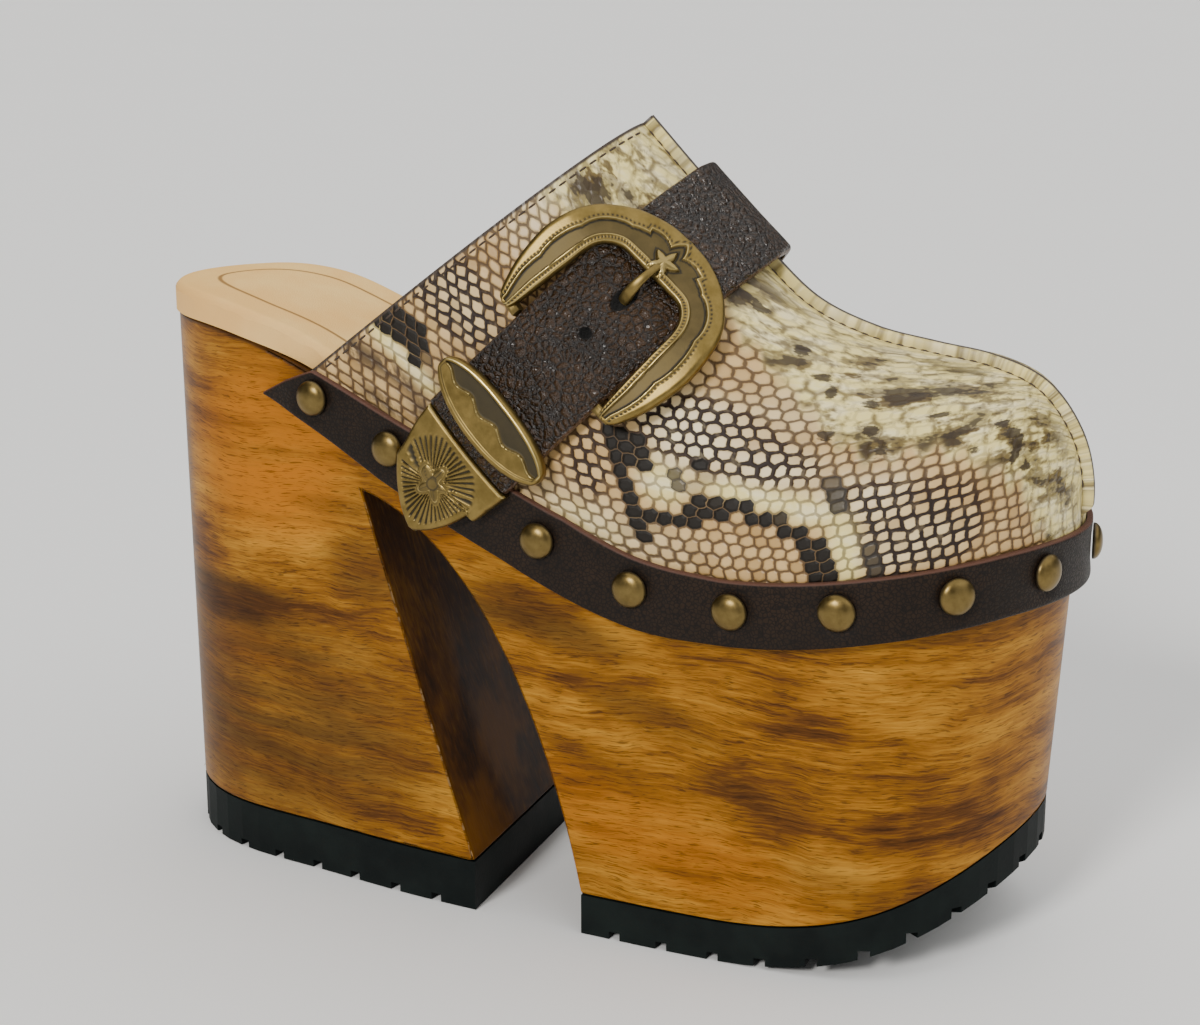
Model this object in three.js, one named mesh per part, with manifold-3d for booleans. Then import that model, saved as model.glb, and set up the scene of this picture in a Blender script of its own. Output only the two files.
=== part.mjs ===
import * as THREE from 'three';
import { mergeVertices } from 'three/addons/utils/BufferGeometryUtils.js';
import Module from 'manifold-3d';

const wasm = await Module();
wasm.setup();

// Platform clog for the right foot, in millimetres. While it is modelled, X runs from the heel (0) to
// the toe, -Y is the outer side of the foot and Z is the height above the floor.

// Driving sizes of the last and the block
const soleLength = 245;
const ballWidth = 100;
const heelHeight = 148;
const platformHeight = 97;
const toeSeatRise = 8.8;
const toeSpring = 22.9;
const toeDraft = 4.1;
const heelDraft = 1;
const instepHeight = 54.2;
const toeBoxHeight = 51.4;

// Driving sizes of the layers and fittings
const seatGap = 0.3;
const heelTreadThickness = 13.8;
const frontTreadThickness = 10.9;
const lugPitch = 13.2;
const lugGrooveWidth = 3;
const lugGrooveHeight = 2;
const lugGrooveReach = 7;
const insoleHeelThickness = 7.6;
const insoleOverhang = 0.8;
const insoleToeThickness = 4;
const insoleEdgeRound = 2;
const insoleTuck = 1.8;
const upperWall = 1.6;
const upperMargin = 9.5;
const seamHeight = 2.6;
const seamWidth = 3;
const bandWidth = 16.5;
const bandThickness = 1.6;
const studDiameter = 9.2;
const studHeight = 2.3;
const studPitch = 26.3;
const studToeMargin = 6.6;
const studHeelMargin = 9;
const studAheadOfStrap = 30.6;
const studBehindStrap = 16.6;
const strapWidth = 30;
const strapThickness = 2.6;
const billetWidth = 26;
const billetThickness = 1.6;
const barDistance = 42;
const barSize = 1.5;
const buckleLength = 43;
const buckleWidth = 53;
const buckleThickness = 2.4;
const prongWidth = 3.2;
const prongThickness = 1.6;
const prongHoleDistance = 64;
const prongSlotLength = 7.4;
const spareHoleDistance = 52;
const spareHoleDiameter = 3;
const keeperDistance = 20.8;
const keeperLength = 38.5;
const keeperBreadth = 11.5;
const keeperThickness = 2.6;
const tipDistance = 10.8;
const tipLength = 26.5;
const tipCapThickness = 0.9;
const tipShift = 0.8;
const seamSwell = 5.5;
const liftRun = 14;
const liftDelay = 2;
const legWidth = 1.8;
const edgeMargin = 0.45;

// Plan curve of the block's top edge: control points of a closed cubic B-spline, heel back first,
// then the outer side, the toe and the inner side. Shares of soleLength and ballWidth.
const planTable = [
  { length: -0.033, width: 0.018 },
  { length: 0.065, width: -0.265 },
  { length: 0.204, width: -0.3 },
  { length: 0.33, width: -0.375 },
  { length: 0.465, width: -0.408 },
  { length: 0.598, width: -0.437 },
  { length: 0.73, width: -0.465 },
  { length: 0.87, width: -0.49 },
  { length: 0.968, width: -0.27 },
  { length: 1.02, width: 0.075 },
  { length: 0.965, width: 0.36 },
  { length: 0.845, width: 0.545 },
  { length: 0.715, width: 0.475 },
  { length: 0.585, width: 0.415 },
  { length: 0.455, width: 0.355 },
  { length: 0.322, width: 0.35 },
  { length: 0.194, width: 0.345 },
  { length: 0.06, width: 0.32 },
];

// Sections of the upper from the collar to the toe. feather is the share of the way along the block's
// side where a section stands, ridge its top's share of soleLength, box its share of toeBoxHeight,
// climb its share of the rise from the toe box to the throat, power the roundness of its arch.
const sectionTable = [
  { feather: 0.24, ridge: 0.542, box: 1, climb: 1, power: 2.25 },
  { feather: 0.33, ridge: 0.6, box: 1, climb: 0.723, power: 2.25 },
  { feather: 0.42, ridge: 0.66, box: 1, climb: 0.453, power: 2.25 },
  { feather: 0.515, ridge: 0.722, box: 1, climb: 0.199, power: 2.3 },
  { feather: 0.61, ridge: 0.788, box: 1, climb: 0.07, power: 2.35 },
  { feather: 0.695, ridge: 0.852, box: 1, climb: 0.015, power: 2.4 },
  { feather: 0.77, ridge: 0.912, box: 0.971, climb: 0, power: 2.45 },
  { feather: 0.84, ridge: 0.962, box: 0.872, climb: 0, power: 2.4 },
  { feather: 0.9, ridge: 0.995, box: 0.671, climb: 0, power: 2.3 },
  { feather: 0.95, ridge: 1.009, box: 0.438, climb: 0, power: 2.15 },
  { feather: 1, ridge: 1.008, box: 0.171, climb: 0, power: 2 },
];

// Edges of the band over the block's top edge: side is the share of the way along the block's side,
// top and bottom are shares of bandWidth above and below that edge.
const bandTable = [
  { side: 0.192, top: -0.68, bottom: -0.73 },
  { side: 0.22, top: -0.25, bottom: -0.74 },
  { side: 0.25, top: 0.17, bottom: -0.76 },
  { side: 0.32, top: 0.28, bottom: -0.8 },
  { side: 0.38, top: 0.4, bottom: -0.76 },
  { side: 0.44, top: 0.5, bottom: -0.7 },
  { side: 0.5, top: 0.5, bottom: -0.72 },
  { side: 0.56, top: 0.36, bottom: -0.75 },
  { side: 0.64, top: 0.26, bottom: -0.74 },
  { side: 0.76, top: 0.27, bottom: -0.71 },
  { side: 0.88, top: 0.24, bottom: -0.71 },
  { side: 1, top: 0.17, bottom: -0.75 },
];

// Half of the buckle's plate from the middle of its round end to the tip of an arm: distance along
// the strap as a share of buckleLength from the bar, and distance from the middle as a share of half
// of buckleWidth, for the outer and the inner edge.
const buckleTable = [
  { outerAlong: 0.985, outerAcross: 0, innerAlong: 0.69, innerAcross: 0 },
  { outerAlong: 0.965, outerAcross: 0.28, innerAlong: 0.69, innerAcross: 0.2 },
  { outerAlong: 0.88, outerAcross: 0.6, innerAlong: 0.675, innerAcross: 0.4 },
  { outerAlong: 0.71, outerAcross: 0.87, innerAlong: 0.58, innerAcross: 0.54 },
  { outerAlong: 0.46, outerAcross: 0.99, innerAlong: 0.39, innerAcross: 0.575 },
  { outerAlong: 0.22, outerAcross: 0.95, innerAlong: 0.21, innerAcross: 0.6 },
  { outerAlong: 0.05, outerAcross: 0.85, innerAlong: 0.05, innerAcross: 0.63 },
  { outerAlong: -0.01, outerAcross: 0.78, innerAlong: -0.01, innerAcross: 0.66 },
];

// The prong from the bar to its point: share of the way to the hole in the strap or, past 1, of the
// same length again, and height in units of strapThickness above the strap's underside.
const prongTable = [
  { along: 0.1, height: -0.42 },
  { along: 0.5, height: -0.42 },
  { along: 0.82, height: -0.42 },
  { along: 0.95, height: 0.05 },
  { along: 1.03, height: 0.85 },
  { along: 1.12, height: 1.75 },
  { along: 1.27, height: 2.2 },
  { along: 1.46, height: 2.1 },
];

// Fixed shares of the named sizes above
const seatDropStart = 0.06;
const seatDropEnd = 0.66;
const toeRiseStart = 0.7;
const springStart = 0.69;
const toeDraftStart = 0.6;
const heelDraftEnd = 0.3;
const tuckStart = 0.13;
const tuckEnd = 0.22;
const ridgeShift = 0.04;
const toeRoundStart = 0.45;
const toeRoundEnd = 0.85;
const toeCloseStart = 0.955;
const seamFadeStart = 0.94;
const seamFadeEnd = 0.968;
const strapSection = 0.161;
const strapTipTurn = 16;
const studRise = 0.55;
const buckleLegEnd = 0.76;
const keeperCurve = { fullness: 2.3, roundness: 0.6 };
const tipCurve = { fullness: 1.8, roundness: 0.72, point: 0.08 };
const notchApexLength = 0.285;
const notchApexHeight = 0.741;
const notchCurve = [{ length: 0.81, height: 0.56 }, { length: 0.45, height: 0.94 }];
const breastLength = 0.417;
const platformRearLength = 0.543;

// Numbers of faces
const planSteps = 44;
const sectionSteps = 24;
const archSteps = 13;
const bandSteps = 64;
const strapSteps = 42;
const plateSteps = 26;
const studSteps = 12;
const toeCrowding = 1.4;

// A smooth step from 0 to 1
function smooth(value) {
  const share = THREE.MathUtils.clamp(value, 0, 1);
  return share * share * (3 - 2 * share);
}

// Rise from 0 at the edges of a sheet, where share is 0 or 1, to 1 over the first part in steepness
function fromEdge(share, steepness) {
  return Math.min(1, steepness * Math.min(share, 1 - share));
}

// A smooth curve through one column of an evenly spaced table
function along(table, column, share) {
  const last = table.length - 1;
  const place = THREE.MathUtils.clamp(share, 0, 1) * last;
  const index = Math.min(Math.floor(place), last - 1);
  const f = place - index;
  const b = table[index][column];
  const c = table[index + 1][column];
  const a = index > 0 ? table[index - 1][column] : 2 * b - c;
  const d = index + 2 <= last ? table[index + 2][column] : 2 * c - b;
  return b + 0.5 * f * (c - a + f * (2 * a - 5 * b + 4 * c - d + f * (3 * (b - c) + d - a)));
}

// Straight lines through one column of a table that is ordered by another
function between(table, key, column, value) {
  const next = table.findIndex((row) => row[key] > value);
  if (next === 0) return table[0][column];
  if (next < 0) return table[table.length - 1][column];
  const low = table[next - 1];
  const high = table[next];
  return low[column] + (high[column] - low[column]) * (value - low[key]) / (high[key] - low[key]);
}

// Height of the block's top, where the foot rests
function seatHeight(x) {
  const share = x / soleLength;
  const drop = smooth((share - seatDropStart) / (seatDropEnd - seatDropStart));
  const rise = smooth((share - toeRiseStart) / (1 - toeRiseStart));
  return heelHeight + (platformHeight - heelHeight) * drop + toeSeatRise * rise;
}

// Height of the tread's underside, flat up to the toe spring
function groundHeight(x) {
  const share = Math.max(x / soleLength - springStart, 0) / (1 - springStart);
  return toeSpring * share * share;
}

// How far the block's sides have come in at the floor
function draft(x) {
  const share = x / soleLength;
  return toeDraft * smooth((share - toeDraftStart) / (1 - toeDraftStart))
    + heelDraft * smooth((heelDraftEnd - share) / heelDraftEnd);
}

// A point of the plan curve, moved outwards by offset; turn goes from 0 at the heel back to 0.5 at
// the toe along the outer side, and on to 1 along the inner side
function planPoint(turn, offset) {
  const count = planTable.length;
  const place = (turn - Math.floor(turn)) * count;
  const index = Math.floor(place);
  const f = place - index;
  const g = 1 - f;
  const weights = [g * g * g, 3 * f ** 3 - 6 * f * f + 4, -3 * f ** 3 + 3 * f * f + 3 * f + 1, f ** 3];
  const slopes = [-g * g, 3 * f * f - 4 * f, -3 * f * f + 2 * f + 1, f * f];
  const point = new THREE.Vector2();
  const tangent = new THREE.Vector2();
  for (let k = 0; k < weights.length; k += 1) {
    const row = planTable[(index + k - 1 + count) % count];
    const corner = new THREE.Vector2(row.length * soleLength, row.width * ballWidth);
    point.addScaledVector(corner, weights[k] / 6);
    tangent.addScaledVector(corner, slopes[k]);
  }
  const outward = new THREE.Vector2(tangent.y, -tangent.x).normalize();
  return { x: point.x + offset * outward.x, y: point.y + offset * outward.y, baseX: point.x, outward };
}

// The same curve by share of one side; side is -1 for the outer and 1 for the inner side
function sidePoint(share, side, offset) {
  return planPoint(side < 0 ? 0.5 * share : 1 - 0.5 * share, offset);
}

// A closed geometry from rows of corners and index triples, turned so that its faces point out
function closedGeometry(corners, triangles) {
  const geometry = new THREE.BufferGeometry();
  const positions = corners.flatMap((corner) => [corner.x, corner.y, corner.z]);
  geometry.setAttribute('position', new THREE.Float32BufferAttribute(positions, 3));
  geometry.setIndex(triangles);
  const merged = mergeVertices(geometry, 1e-4);
  const index = merged.getIndex().array;
  const place = merged.getAttribute('position');
  const kept = [];
  let volume = 0;
  const a = new THREE.Vector3();
  const b = new THREE.Vector3();
  const c = new THREE.Vector3();
  for (let k = 0; k < index.length; k += 3) {
    const [i, j, l] = [index[k], index[k + 1], index[k + 2]];
    if (i === j || j === l || l === i) continue;
    kept.push(i, j, l);
    a.fromBufferAttribute(place, i);
    b.fromBufferAttribute(place, j);
    c.fromBufferAttribute(place, l);
    volume += a.dot(b.cross(c));
  }
  merged.setIndex(volume < 0 ? kept.reverse() : kept);
  return merged;
}

// A closed sheet between two surfaces: corner(u, v, layer) gives a point for layer 0 and layer 1.
// With foldedEnd its far end lies doubled on itself, as at the upper's toe, and needs no end face.
function slab(stepsU, stepsV, corner, foldedEnd = false) {
  const corners = [];
  const triangles = [];
  const width = stepsV + 1;
  const layerSize = (stepsU + 1) * width;
  for (const layer of [0, 1]) {
    for (let i = 0; i <= stepsU; i += 1) {
      for (let j = 0; j <= stepsV; j += 1) corners.push(corner(i / stepsU, j / stepsV, layer));
    }
  }
  const quad = (a, b, c, d) => triangles.push(a, b, c, a, c, d);
  for (let i = 0; i < stepsU; i += 1) {
    for (let j = 0; j < stepsV; j += 1) {
      const k = i * width + j;
      quad(k, k + 1, k + width + 1, k + width);
      quad(k + layerSize, k + layerSize + width, k + layerSize + width + 1, k + layerSize + 1);
    }
    const low = i * width;
    const high = low + stepsV;
    quad(low, low + width, low + width + layerSize, low + layerSize);
    quad(high, high + layerSize, high + width + layerSize, high + width);
  }
  for (let j = 0; j < stepsV; j += 1) {
    const far = stepsU * width + j;
    quad(j, j + layerSize, j + 1 + layerSize, j + 1);
    if (!foldedEnd) quad(far, far + 1, far + 1 + layerSize, far + layerSize);
  }
  return closedGeometry(corners, triangles);
}

// A closed solid over the whole plan from rings, lowest first: each has an offset(x) and a height(x)
function planSolid(rings) {
  const count = 2 * planSteps;
  const corners = [];
  const triangles = [];
  for (const ring of rings) {
    for (let i = 0; i < count; i += 1) {
      const base = planPoint(i / count, 0).baseX;
      const point = planPoint(i / count, ring.offset(base));
      corners.push(new THREE.Vector3(point.x, point.y, ring.height(base)));
    }
  }
  for (let r = 0; r < rings.length - 1; r += 1) {
    for (let i = 0; i < count; i += 1) {
      const a = r * count + i;
      const b = r * count + (i + 1) % count;
      triangles.push(a, b + count, b, a, a + count, b + count);
    }
  }
  const top = (rings.length - 1) * count;
  for (let i = 0; i < planSteps; i += 1) {
    const near = i;
    const far = (count - i) % count;
    triangles.push(near, near + 1, count - i - 1, near, count - i - 1, far);
    triangles.push(top + near, top + count - i - 1, top + near + 1);
    triangles.push(top + near, top + far, top + count - i - 1);
  }
  return closedGeometry(corners, triangles);
}

// Solids for joining and cutting
function toSolid(geometry) {
  const bare = geometry.clone();
  bare.deleteAttribute('normal');
  bare.deleteAttribute('uv');
  const merged = mergeVertices(bare, 1e-4);
  const vertProperties = new Float32Array(merged.getAttribute('position').array);
  const triVerts = new Uint32Array(merged.getIndex().array);
  return new wasm.Manifold(new wasm.Mesh({ numProp: 3, vertProperties, triVerts }));
}

function toGeometry(solid) {
  const mesh = solid.getMesh();
  const geometry = new THREE.BufferGeometry();
  geometry.setAttribute('position', new THREE.BufferAttribute(new Float32Array(mesh.vertProperties), 3));
  geometry.setIndex(new THREE.BufferAttribute(new Uint32Array(mesh.triVerts), 1));
  return geometry;
}

function cut(geometry, tools) {
  return toGeometry(tools.reduce((solid, tool) => solid.subtract(toSolid(tool)), toSolid(geometry)));
}

function join(geometries) {
  return toGeometry(geometries.map(toSolid).reduce((sum, solid) => sum.add(solid)));
}

// Sole: wooden block, heel tread and front tread

// What the notch takes out of the block: a straight heel breast in front of a curved platform rear
function notchCutter() {
  const apex = [notchApexLength * soleLength, notchApexHeight * heelHeight];
  const breast = [breastLength * soleLength, heelTreadThickness];
  const rear = [platformRearLength * soleLength, frontTreadThickness];
  const rise = apex[1] - rear[1];
  const reach = rear[0] - apex[0];
  const outline = new THREE.Shape();
  outline.moveTo(apex[0], apex[1]);
  outline.lineTo(breast[0], breast[1]);
  outline.lineTo(breast[0], -heelTreadThickness);
  outline.lineTo(rear[0], -heelTreadThickness);
  outline.lineTo(rear[0], rear[1]);
  outline.bezierCurveTo(
    ...notchCurve.flatMap((row) => [apex[0] + row.length * reach, rear[1] + row.height * rise]),
    apex[0], apex[1],
  );
  const cutter = new THREE.ExtrudeGeometry(outline, {
    depth: 2 * ballWidth, bevelEnabled: false, curveSegments: 18,
  });
  cutter.rotateX(Math.PI / 2);
  cutter.translate(0, ballWidth, 0);
  return cutter;
}

function blockGeometry() {
  const treadTop = (x) => {
    const share = x / soleLength;
    const middle = 0.5 * (breastLength + platformRearLength);
    return groundHeight(x) + (share < middle ? heelTreadThickness : frontTreadThickness);
  };
  const block = planSolid([
    { offset: (x) => -draft(x), height: treadTop },
    { offset: () => 0, height: seatHeight },
  ]);
  return cut(block, [notchCutter()]);
}

// Box cutters for the grooves round a tread's lower edge, one every lugPitch along the plan curve
function lugCutters(from, to) {
  const samples = 720;
  const cutters = [];
  let walked = 0;
  let previous = planPoint(0, 0);
  for (let i = 1; i <= samples; i += 1) {
    const here = planPoint(i / samples, 0);
    walked += Math.hypot(here.x - previous.x, here.y - previous.y);
    previous = here;
    if (walked < lugPitch) continue;
    walked -= lugPitch;
    if (here.x < from || here.x > to) continue;
    const groove = new THREE.BoxGeometry(2 * lugGrooveReach, lugGrooveWidth, 2 * lugGrooveHeight);
    groove.rotateY(-Math.atan2(groundHeight(here.x + 1) - groundHeight(here.x), 1) * here.outward.x);
    groove.rotateZ(Math.atan2(here.outward.y, here.outward.x));
    const inset = draft(here.x);
    groove.translate(
      here.x - inset * here.outward.x, here.y - inset * here.outward.y, groundHeight(here.x),
    );
    cutters.push(groove);
  }
  return cutters;
}

function treadGeometry(thickness, from, to) {
  const layer = planSolid([
    { offset: (x) => -draft(x), height: groundHeight },
    { offset: (x) => -draft(x), height: (x) => groundHeight(x) + thickness - seatGap },
  ]);
  const room = new THREE.BoxGeometry(to - from, 2 * ballWidth, 2 * heelHeight);
  room.translate(0.5 * (from + to), 0, 0);
  const piece = toGeometry(toSolid(layer).intersect(toSolid(room)));
  return cut(piece, lugCutters(from + lugGrooveWidth, to - lugGrooveWidth));
}

// Insole: flush with the block at the open heel, tucked inside the upper further forward
function insoleGeometry() {
  const thickness = (x) => {
    return THREE.MathUtils.lerp(insoleHeelThickness, insoleToeThickness, smooth(x / soleLength));
  };
  const tuck = (x) => {
    const share = smooth((x / soleLength - tuckStart) / (tuckEnd - tuckStart));
    return THREE.MathUtils.lerp(insoleOverhang, -insoleTuck, share);
  };
  const round = (x) => Math.min(insoleEdgeRound, 0.45 * thickness(x));
  const top = (x) => seatHeight(x) + seatGap + thickness(x);
  return planSolid([
    { offset: (x) => tuck(x) - 0.3 * round(x), height: (x) => seatHeight(x) + seatGap },
    { offset: tuck, height: (x) => seatHeight(x) + seatGap + 0.5 * round(x) },
    { offset: tuck, height: (x) => top(x) - round(x) },
    { offset: (x) => tuck(x) - 0.35 * round(x), height: (x) => top(x) - 0.3 * round(x) },
    { offset: (x) => tuck(x) - round(x), height: top },
  ]);
}

// Upper: one hollow shell over arched sections

const upperOffset = seatGap + upperWall;
const throatRise = heelHeight + instepHeight - platformHeight - toeBoxHeight;
const ridgeY = ridgeShift * ballWidth;

// Top line of the sections in side view, lowered along its own normal by depth
function ridgePoint(section, depth) {
  const place = (s) => {
    const toe = sidePoint(1, -1, upperOffset);
    const fade = smooth((s - toeCloseStart) / (1 - toeCloseStart));
    const x = along(sectionTable, 'ridge', s) * soleLength;
    const z = platformHeight + toeBoxHeight * along(sectionTable, 'box', s)
      + throatRise * along(sectionTable, 'climb', s);
    return new THREE.Vector2(
      THREE.MathUtils.lerp(x, toe.x, fade), THREE.MathUtils.lerp(z, seatHeight(toe.baseX), fade),
    );
  };
  const step = 1e-3;
  const ahead = place(Math.min(section + step, 1));
  const back = place(Math.max(section - step, 0));
  const tangent = ahead.sub(back).normalize();
  const forward = smooth((section - toeCloseStart) / (1 - toeCloseStart));
  const normal = new THREE.Vector2(-tangent.y, tangent.x).lerp(new THREE.Vector2(1, 0), forward).normalize();
  return { point: place(section).addScaledVector(normal, -depth), normal };
}

// A point of the upper's outer surface, or of one that lies depth inside it. section goes from 0 at
// the collar to 1 at the toe, turn from 0 at the outer feather over 1 at the ridge to 2 at the inner
// feather; below 0 and above 2 it goes straight down the block's side, one unit for each upperMargin.
function skin(section, turn, depth = 0) {
  const side = turn <= 1 ? -1 : 1;
  const rise = turn <= 1 ? turn : 2 - turn;
  const angle = THREE.MathUtils.clamp(rise, 0, 1) * Math.PI / 2;
  const power = 2 / along(sectionTable, 'power', section);
  const foot = sidePoint(along(sectionTable, 'feather', section), side, upperOffset - depth);
  const footZ = seatHeight(foot.baseX);
  const top = ridgePoint(section, depth).point;
  const inward = 1 - Math.max(Math.cos(angle), 0) ** power;
  const upward = Math.sin(angle) ** power;
  const forward = upward ** (1 + smooth((section - toeRoundStart) / (toeRoundEnd - toeRoundStart)));
  const topY = ridgeY + side * 0.5 * seamWidth * smooth((1 - section) / (1 - seamFadeStart));
  return new THREE.Vector3(
    foot.x + (top.x - foot.x) * forward,
    foot.y + (topY - foot.y) * inward,
    footZ + (top.y - footZ) * upward + Math.min(rise, 0) * upperMargin,
  );
}

// Unit normal of that surface
function skinNormal(section, turn) {
  const step = 2e-3;
  const alongSole = skin(Math.min(section + step, 1), turn).sub(skin(Math.max(section - step, 0), turn));
  const aroundFoot = skin(section, turn + step).sub(skin(section, turn - step));
  return alongSole.cross(aroundFoot).normalize();
}

// The shell: inner and outer surface, with the pinched centre seam standing on the outer one
function upperGeometry() {
  const columns = [-1, -0.5];
  for (let k = 0; k <= archSteps; k += 1) columns.push(k / archSteps);
  const turns = [...columns, 1, 1, ...columns.map((turn) => 2 - turn).reverse()];
  const seamLow = columns.length;
  return slab(sectionSteps, turns.length - 1, (u, v, layer) => {
    const section = 1 - (1 - u) ** toeCrowding;
    const column = Math.round(v * (turns.length - 1));
    const side = column <= seamLow ? -1 : 1;
    const turn = turns[column];
    const onSeam = column === seamLow || column === seamLow + 1;
    const point = skin(section, side < 0 ? turn : Math.max(turn, 1 + 1e-9), layer === 0 ? upperWall : 0);
    if (layer === 0 || !onSeam) return point;
    const fade = 1 - smooth((section - seamFadeStart) / (seamFadeEnd - seamFadeStart));
    const { normal } = ridgePoint(section, 0);
    point.x += seamHeight * fade * normal.x;
    point.z += seamHeight * fade * normal.y;
    return point;
  }, true);
}

// Band nailed round the lower edge of the upper

function bandColumn(share, column) {
  return bandWidth * between(bandTable, 'side', column, share);
}

// Distance of the band's inner face from the block: over the upper, and down on the wood behind it
function bandOffset(share) {
  const collar = sectionTable[0].feather - 2 * seatGap / ballWidth;
  const tail = bandTable[0].side;
  const onWood = smooth((collar - share) / (collar - tail));
  return THREE.MathUtils.lerp(upperOffset + seatGap, edgeMargin, onWood);
}

function bandGeometry() {
  const start = bandTable[0].side;
  return slab(bandSteps, 4, (u, v, layer) => {
    const side = u <= 0.5 ? -1 : 1;
    const share = u <= 0.5 ? start + (1 - start) * 2 * u : start + (1 - start) * 2 * (1 - u);
    const point = sidePoint(share, side, 0);
    const thickness = layer === 0 ? 0 : bandThickness * (0.75 + 0.25 * fromEdge(v, 8));
    const place = sidePoint(share, side, bandOffset(share) + thickness);
    const low = bandColumn(share, 'bottom');
    const high = bandColumn(share, 'top');
    return new THREE.Vector3(place.x, place.y, seatHeight(point.baseX) + low + (high - low) * v);
  });
}

// Places of the studs: even steps from the toe along the inner side, and from the strap's front and
// back along the outer side
function studPlaces() {
  const samples = 400;
  const places = [];
  for (const side of [-1, 1]) {
    const walk = [{ length: 0, share: 1 }];
    let previous = sidePoint(1, side, 0);
    for (let i = samples - 1; i / samples >= bandTable[1].side; i -= 1) {
      const here = sidePoint(i / samples, side, 0);
      const rise = seatHeight(here.baseX) - seatHeight(previous.baseX);
      const length = walk[walk.length - 1].length
        + Math.hypot(here.x - previous.x, here.y - previous.y, rise);
      walk.push({ length, share: i / samples });
      previous = here;
    }
    const strapSide = along(sectionTable, 'feather', strapSection);
    const strapLength = walk.find((row) => row.share <= strapSide).length;
    const end = walk[walk.length - 1].length - studHeelMargin;
    const lengths = [];
    if (side < 0) {
      for (let k = strapLength - studAheadOfStrap; k > studToeMargin; k -= studPitch) lengths.push(k);
      for (let k = strapLength + studBehindStrap; k < end; k += studPitch) lengths.push(k);
    } else {
      for (let k = studToeMargin; k < end; k += studPitch) lengths.push(k);
    }
    lengths.forEach((length) => places.push({ share: between(walk, 'length', 'share', length), side }));
  }
  return places;
}

// A domed head
function studGeometry({ share, side }) {
  const radius = 0.5 * studDiameter;
  const profile = [new THREE.Vector2(0, 0), new THREE.Vector2(radius, 0)];
  for (const turn of [0.2, 0.6]) {
    const angle = turn * Math.PI / 2;
    profile.push(new THREE.Vector2(radius * Math.cos(angle), studHeight * Math.sin(angle)));
  }
  profile.push(new THREE.Vector2(0, studHeight));
  const stud = new THREE.LatheGeometry(profile, studSteps);
  stud.rotateX(Math.PI / 2);
  const place = sidePoint(share, side, bandOffset(share) + bandThickness + seatGap);
  const outward = new THREE.Vector3(place.outward.x, place.outward.y, 0);
  stud.applyQuaternion(new THREE.Quaternion().setFromUnitVectors(new THREE.Vector3(0, 0, 1), outward));
  const low = bandColumn(share, 'bottom');
  const height = THREE.MathUtils.lerp(low, bandColumn(share, 'top'), studRise);
  stud.translate(place.x, place.y, seatHeight(place.baseX) + height);
  return closedGeometry(
    Array.from({ length: stud.attributes.position.count }, (_, k) => {
      return new THREE.Vector3().fromBufferAttribute(stud.attributes.position, k);
    }),
    Array.from(stud.getIndex().array),
  );
}

// Strap coordinates: a is the length along the strap's middle line from the outer feather, positive
// over the instep, b the distance across it, towards the toe, and h the height above the upper and
// its seam

// Lengths along the middle line, for turns from 0 to 2.2
const strapLine = [];
for (let k = 0; k <= 660; k += 1) {
  const turn = k / 300;
  const point = skin(strapSection, turn);
  const last = strapLine[k - 1];
  strapLine.push({ turn, point, length: last ? last.length + point.distanceTo(last.point) : 0 });
}

// Section and turn for each unit of length below the feather, where the strap goes on in its own
// direction, turned down a little
const strapSlope = (() => {
  const step = 0.02;
  const foot = skin(strapSection, 0);
  const rise = skin(strapSection, 1).sub(foot);
  const angle = Math.atan2(rise.z, rise.x) + THREE.MathUtils.degToRad(strapTipTurn);
  const featherLine = skin(strapSection + step, 0).sub(skin(strapSection - step, 0)).divideScalar(2 * step);
  const section = Math.cos(angle) / featherLine.x;
  return { section, turn: (Math.sin(angle) - featherLine.z * section) / upperMargin };
})();

function strapMiddle(a) {
  const below = Math.min(a, 0);
  return {
    section: strapSection + strapSlope.section * below,
    turn: a > 0 ? between(strapLine, 'length', 'turn', a) : strapSlope.turn * below,
  };
}

function strapPlace(a, b) {
  const here = strapMiddle(a);
  const step = 0.01;
  const across = skin(here.section + step, here.turn).sub(skin(here.section - step, here.turn));
  across.divideScalar(2 * step);
  const ahead = strapMiddle(a + 0.5);
  const back = strapMiddle(a - 0.5);
  const forward = skin(ahead.section, ahead.turn).sub(skin(back.section, back.turn)).normalize();
  const lean = across.dot(forward);
  const moved = b / Math.sqrt(across.lengthSq() - lean * lean);
  const place = strapMiddle(a - moved * lean);
  return { section: place.section + moved, turn: place.turn };
}

function strapPoint(a, b, h) {
  const { section, turn } = strapPlace(a, b);
  const point = skin(section, turn);
  const beside = Math.max(Math.abs(point.y - ridgeY) - seamWidth, 0);
  const overSeam = (seamHeight + seatGap) * Math.exp(-((beside / seamSwell) ** 2));
  return point.addScaledVector(skinNormal(section, turn), h + overSeam);
}

// The a at which a line with this b reaches the band's upper edge, on the side where a starts
function bandEdgeLength(b, side) {
  let a = side < 0 ? 0 : between(strapLine, 'turn', 'length', 2);
  for (let k = 0; k < 60; k += 1) {
    const { section, turn } = strapPlace(a, b);
    const share = along(sectionTable, 'feather', section);
    const point = skin(section, turn);
    const base = sidePoint(share, side, 0);
    const local = skin(section, side < 0 ? 0 : 2);
    const edgeRise = bandColumn(share + (point.x - local.x) / soleLength, 'top')
      + seatHeight(base.baseX + point.x - local.x);
    a += -side * 0.5 * (edgeRise + edgeMargin - point.z);
  }
  return a;
}

// Height of the strap's underside: over the billet, bar and prong, and else on the upper
const strapRaise = billetThickness + seatGap;
function strapLift(a) {
  return seatGap + strapRaise * (1 - smooth((a - prongHoleDistance - liftDelay) / liftRun));
}

const strapTop = (a) => strapLift(a) + strapThickness + seatGap;

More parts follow.
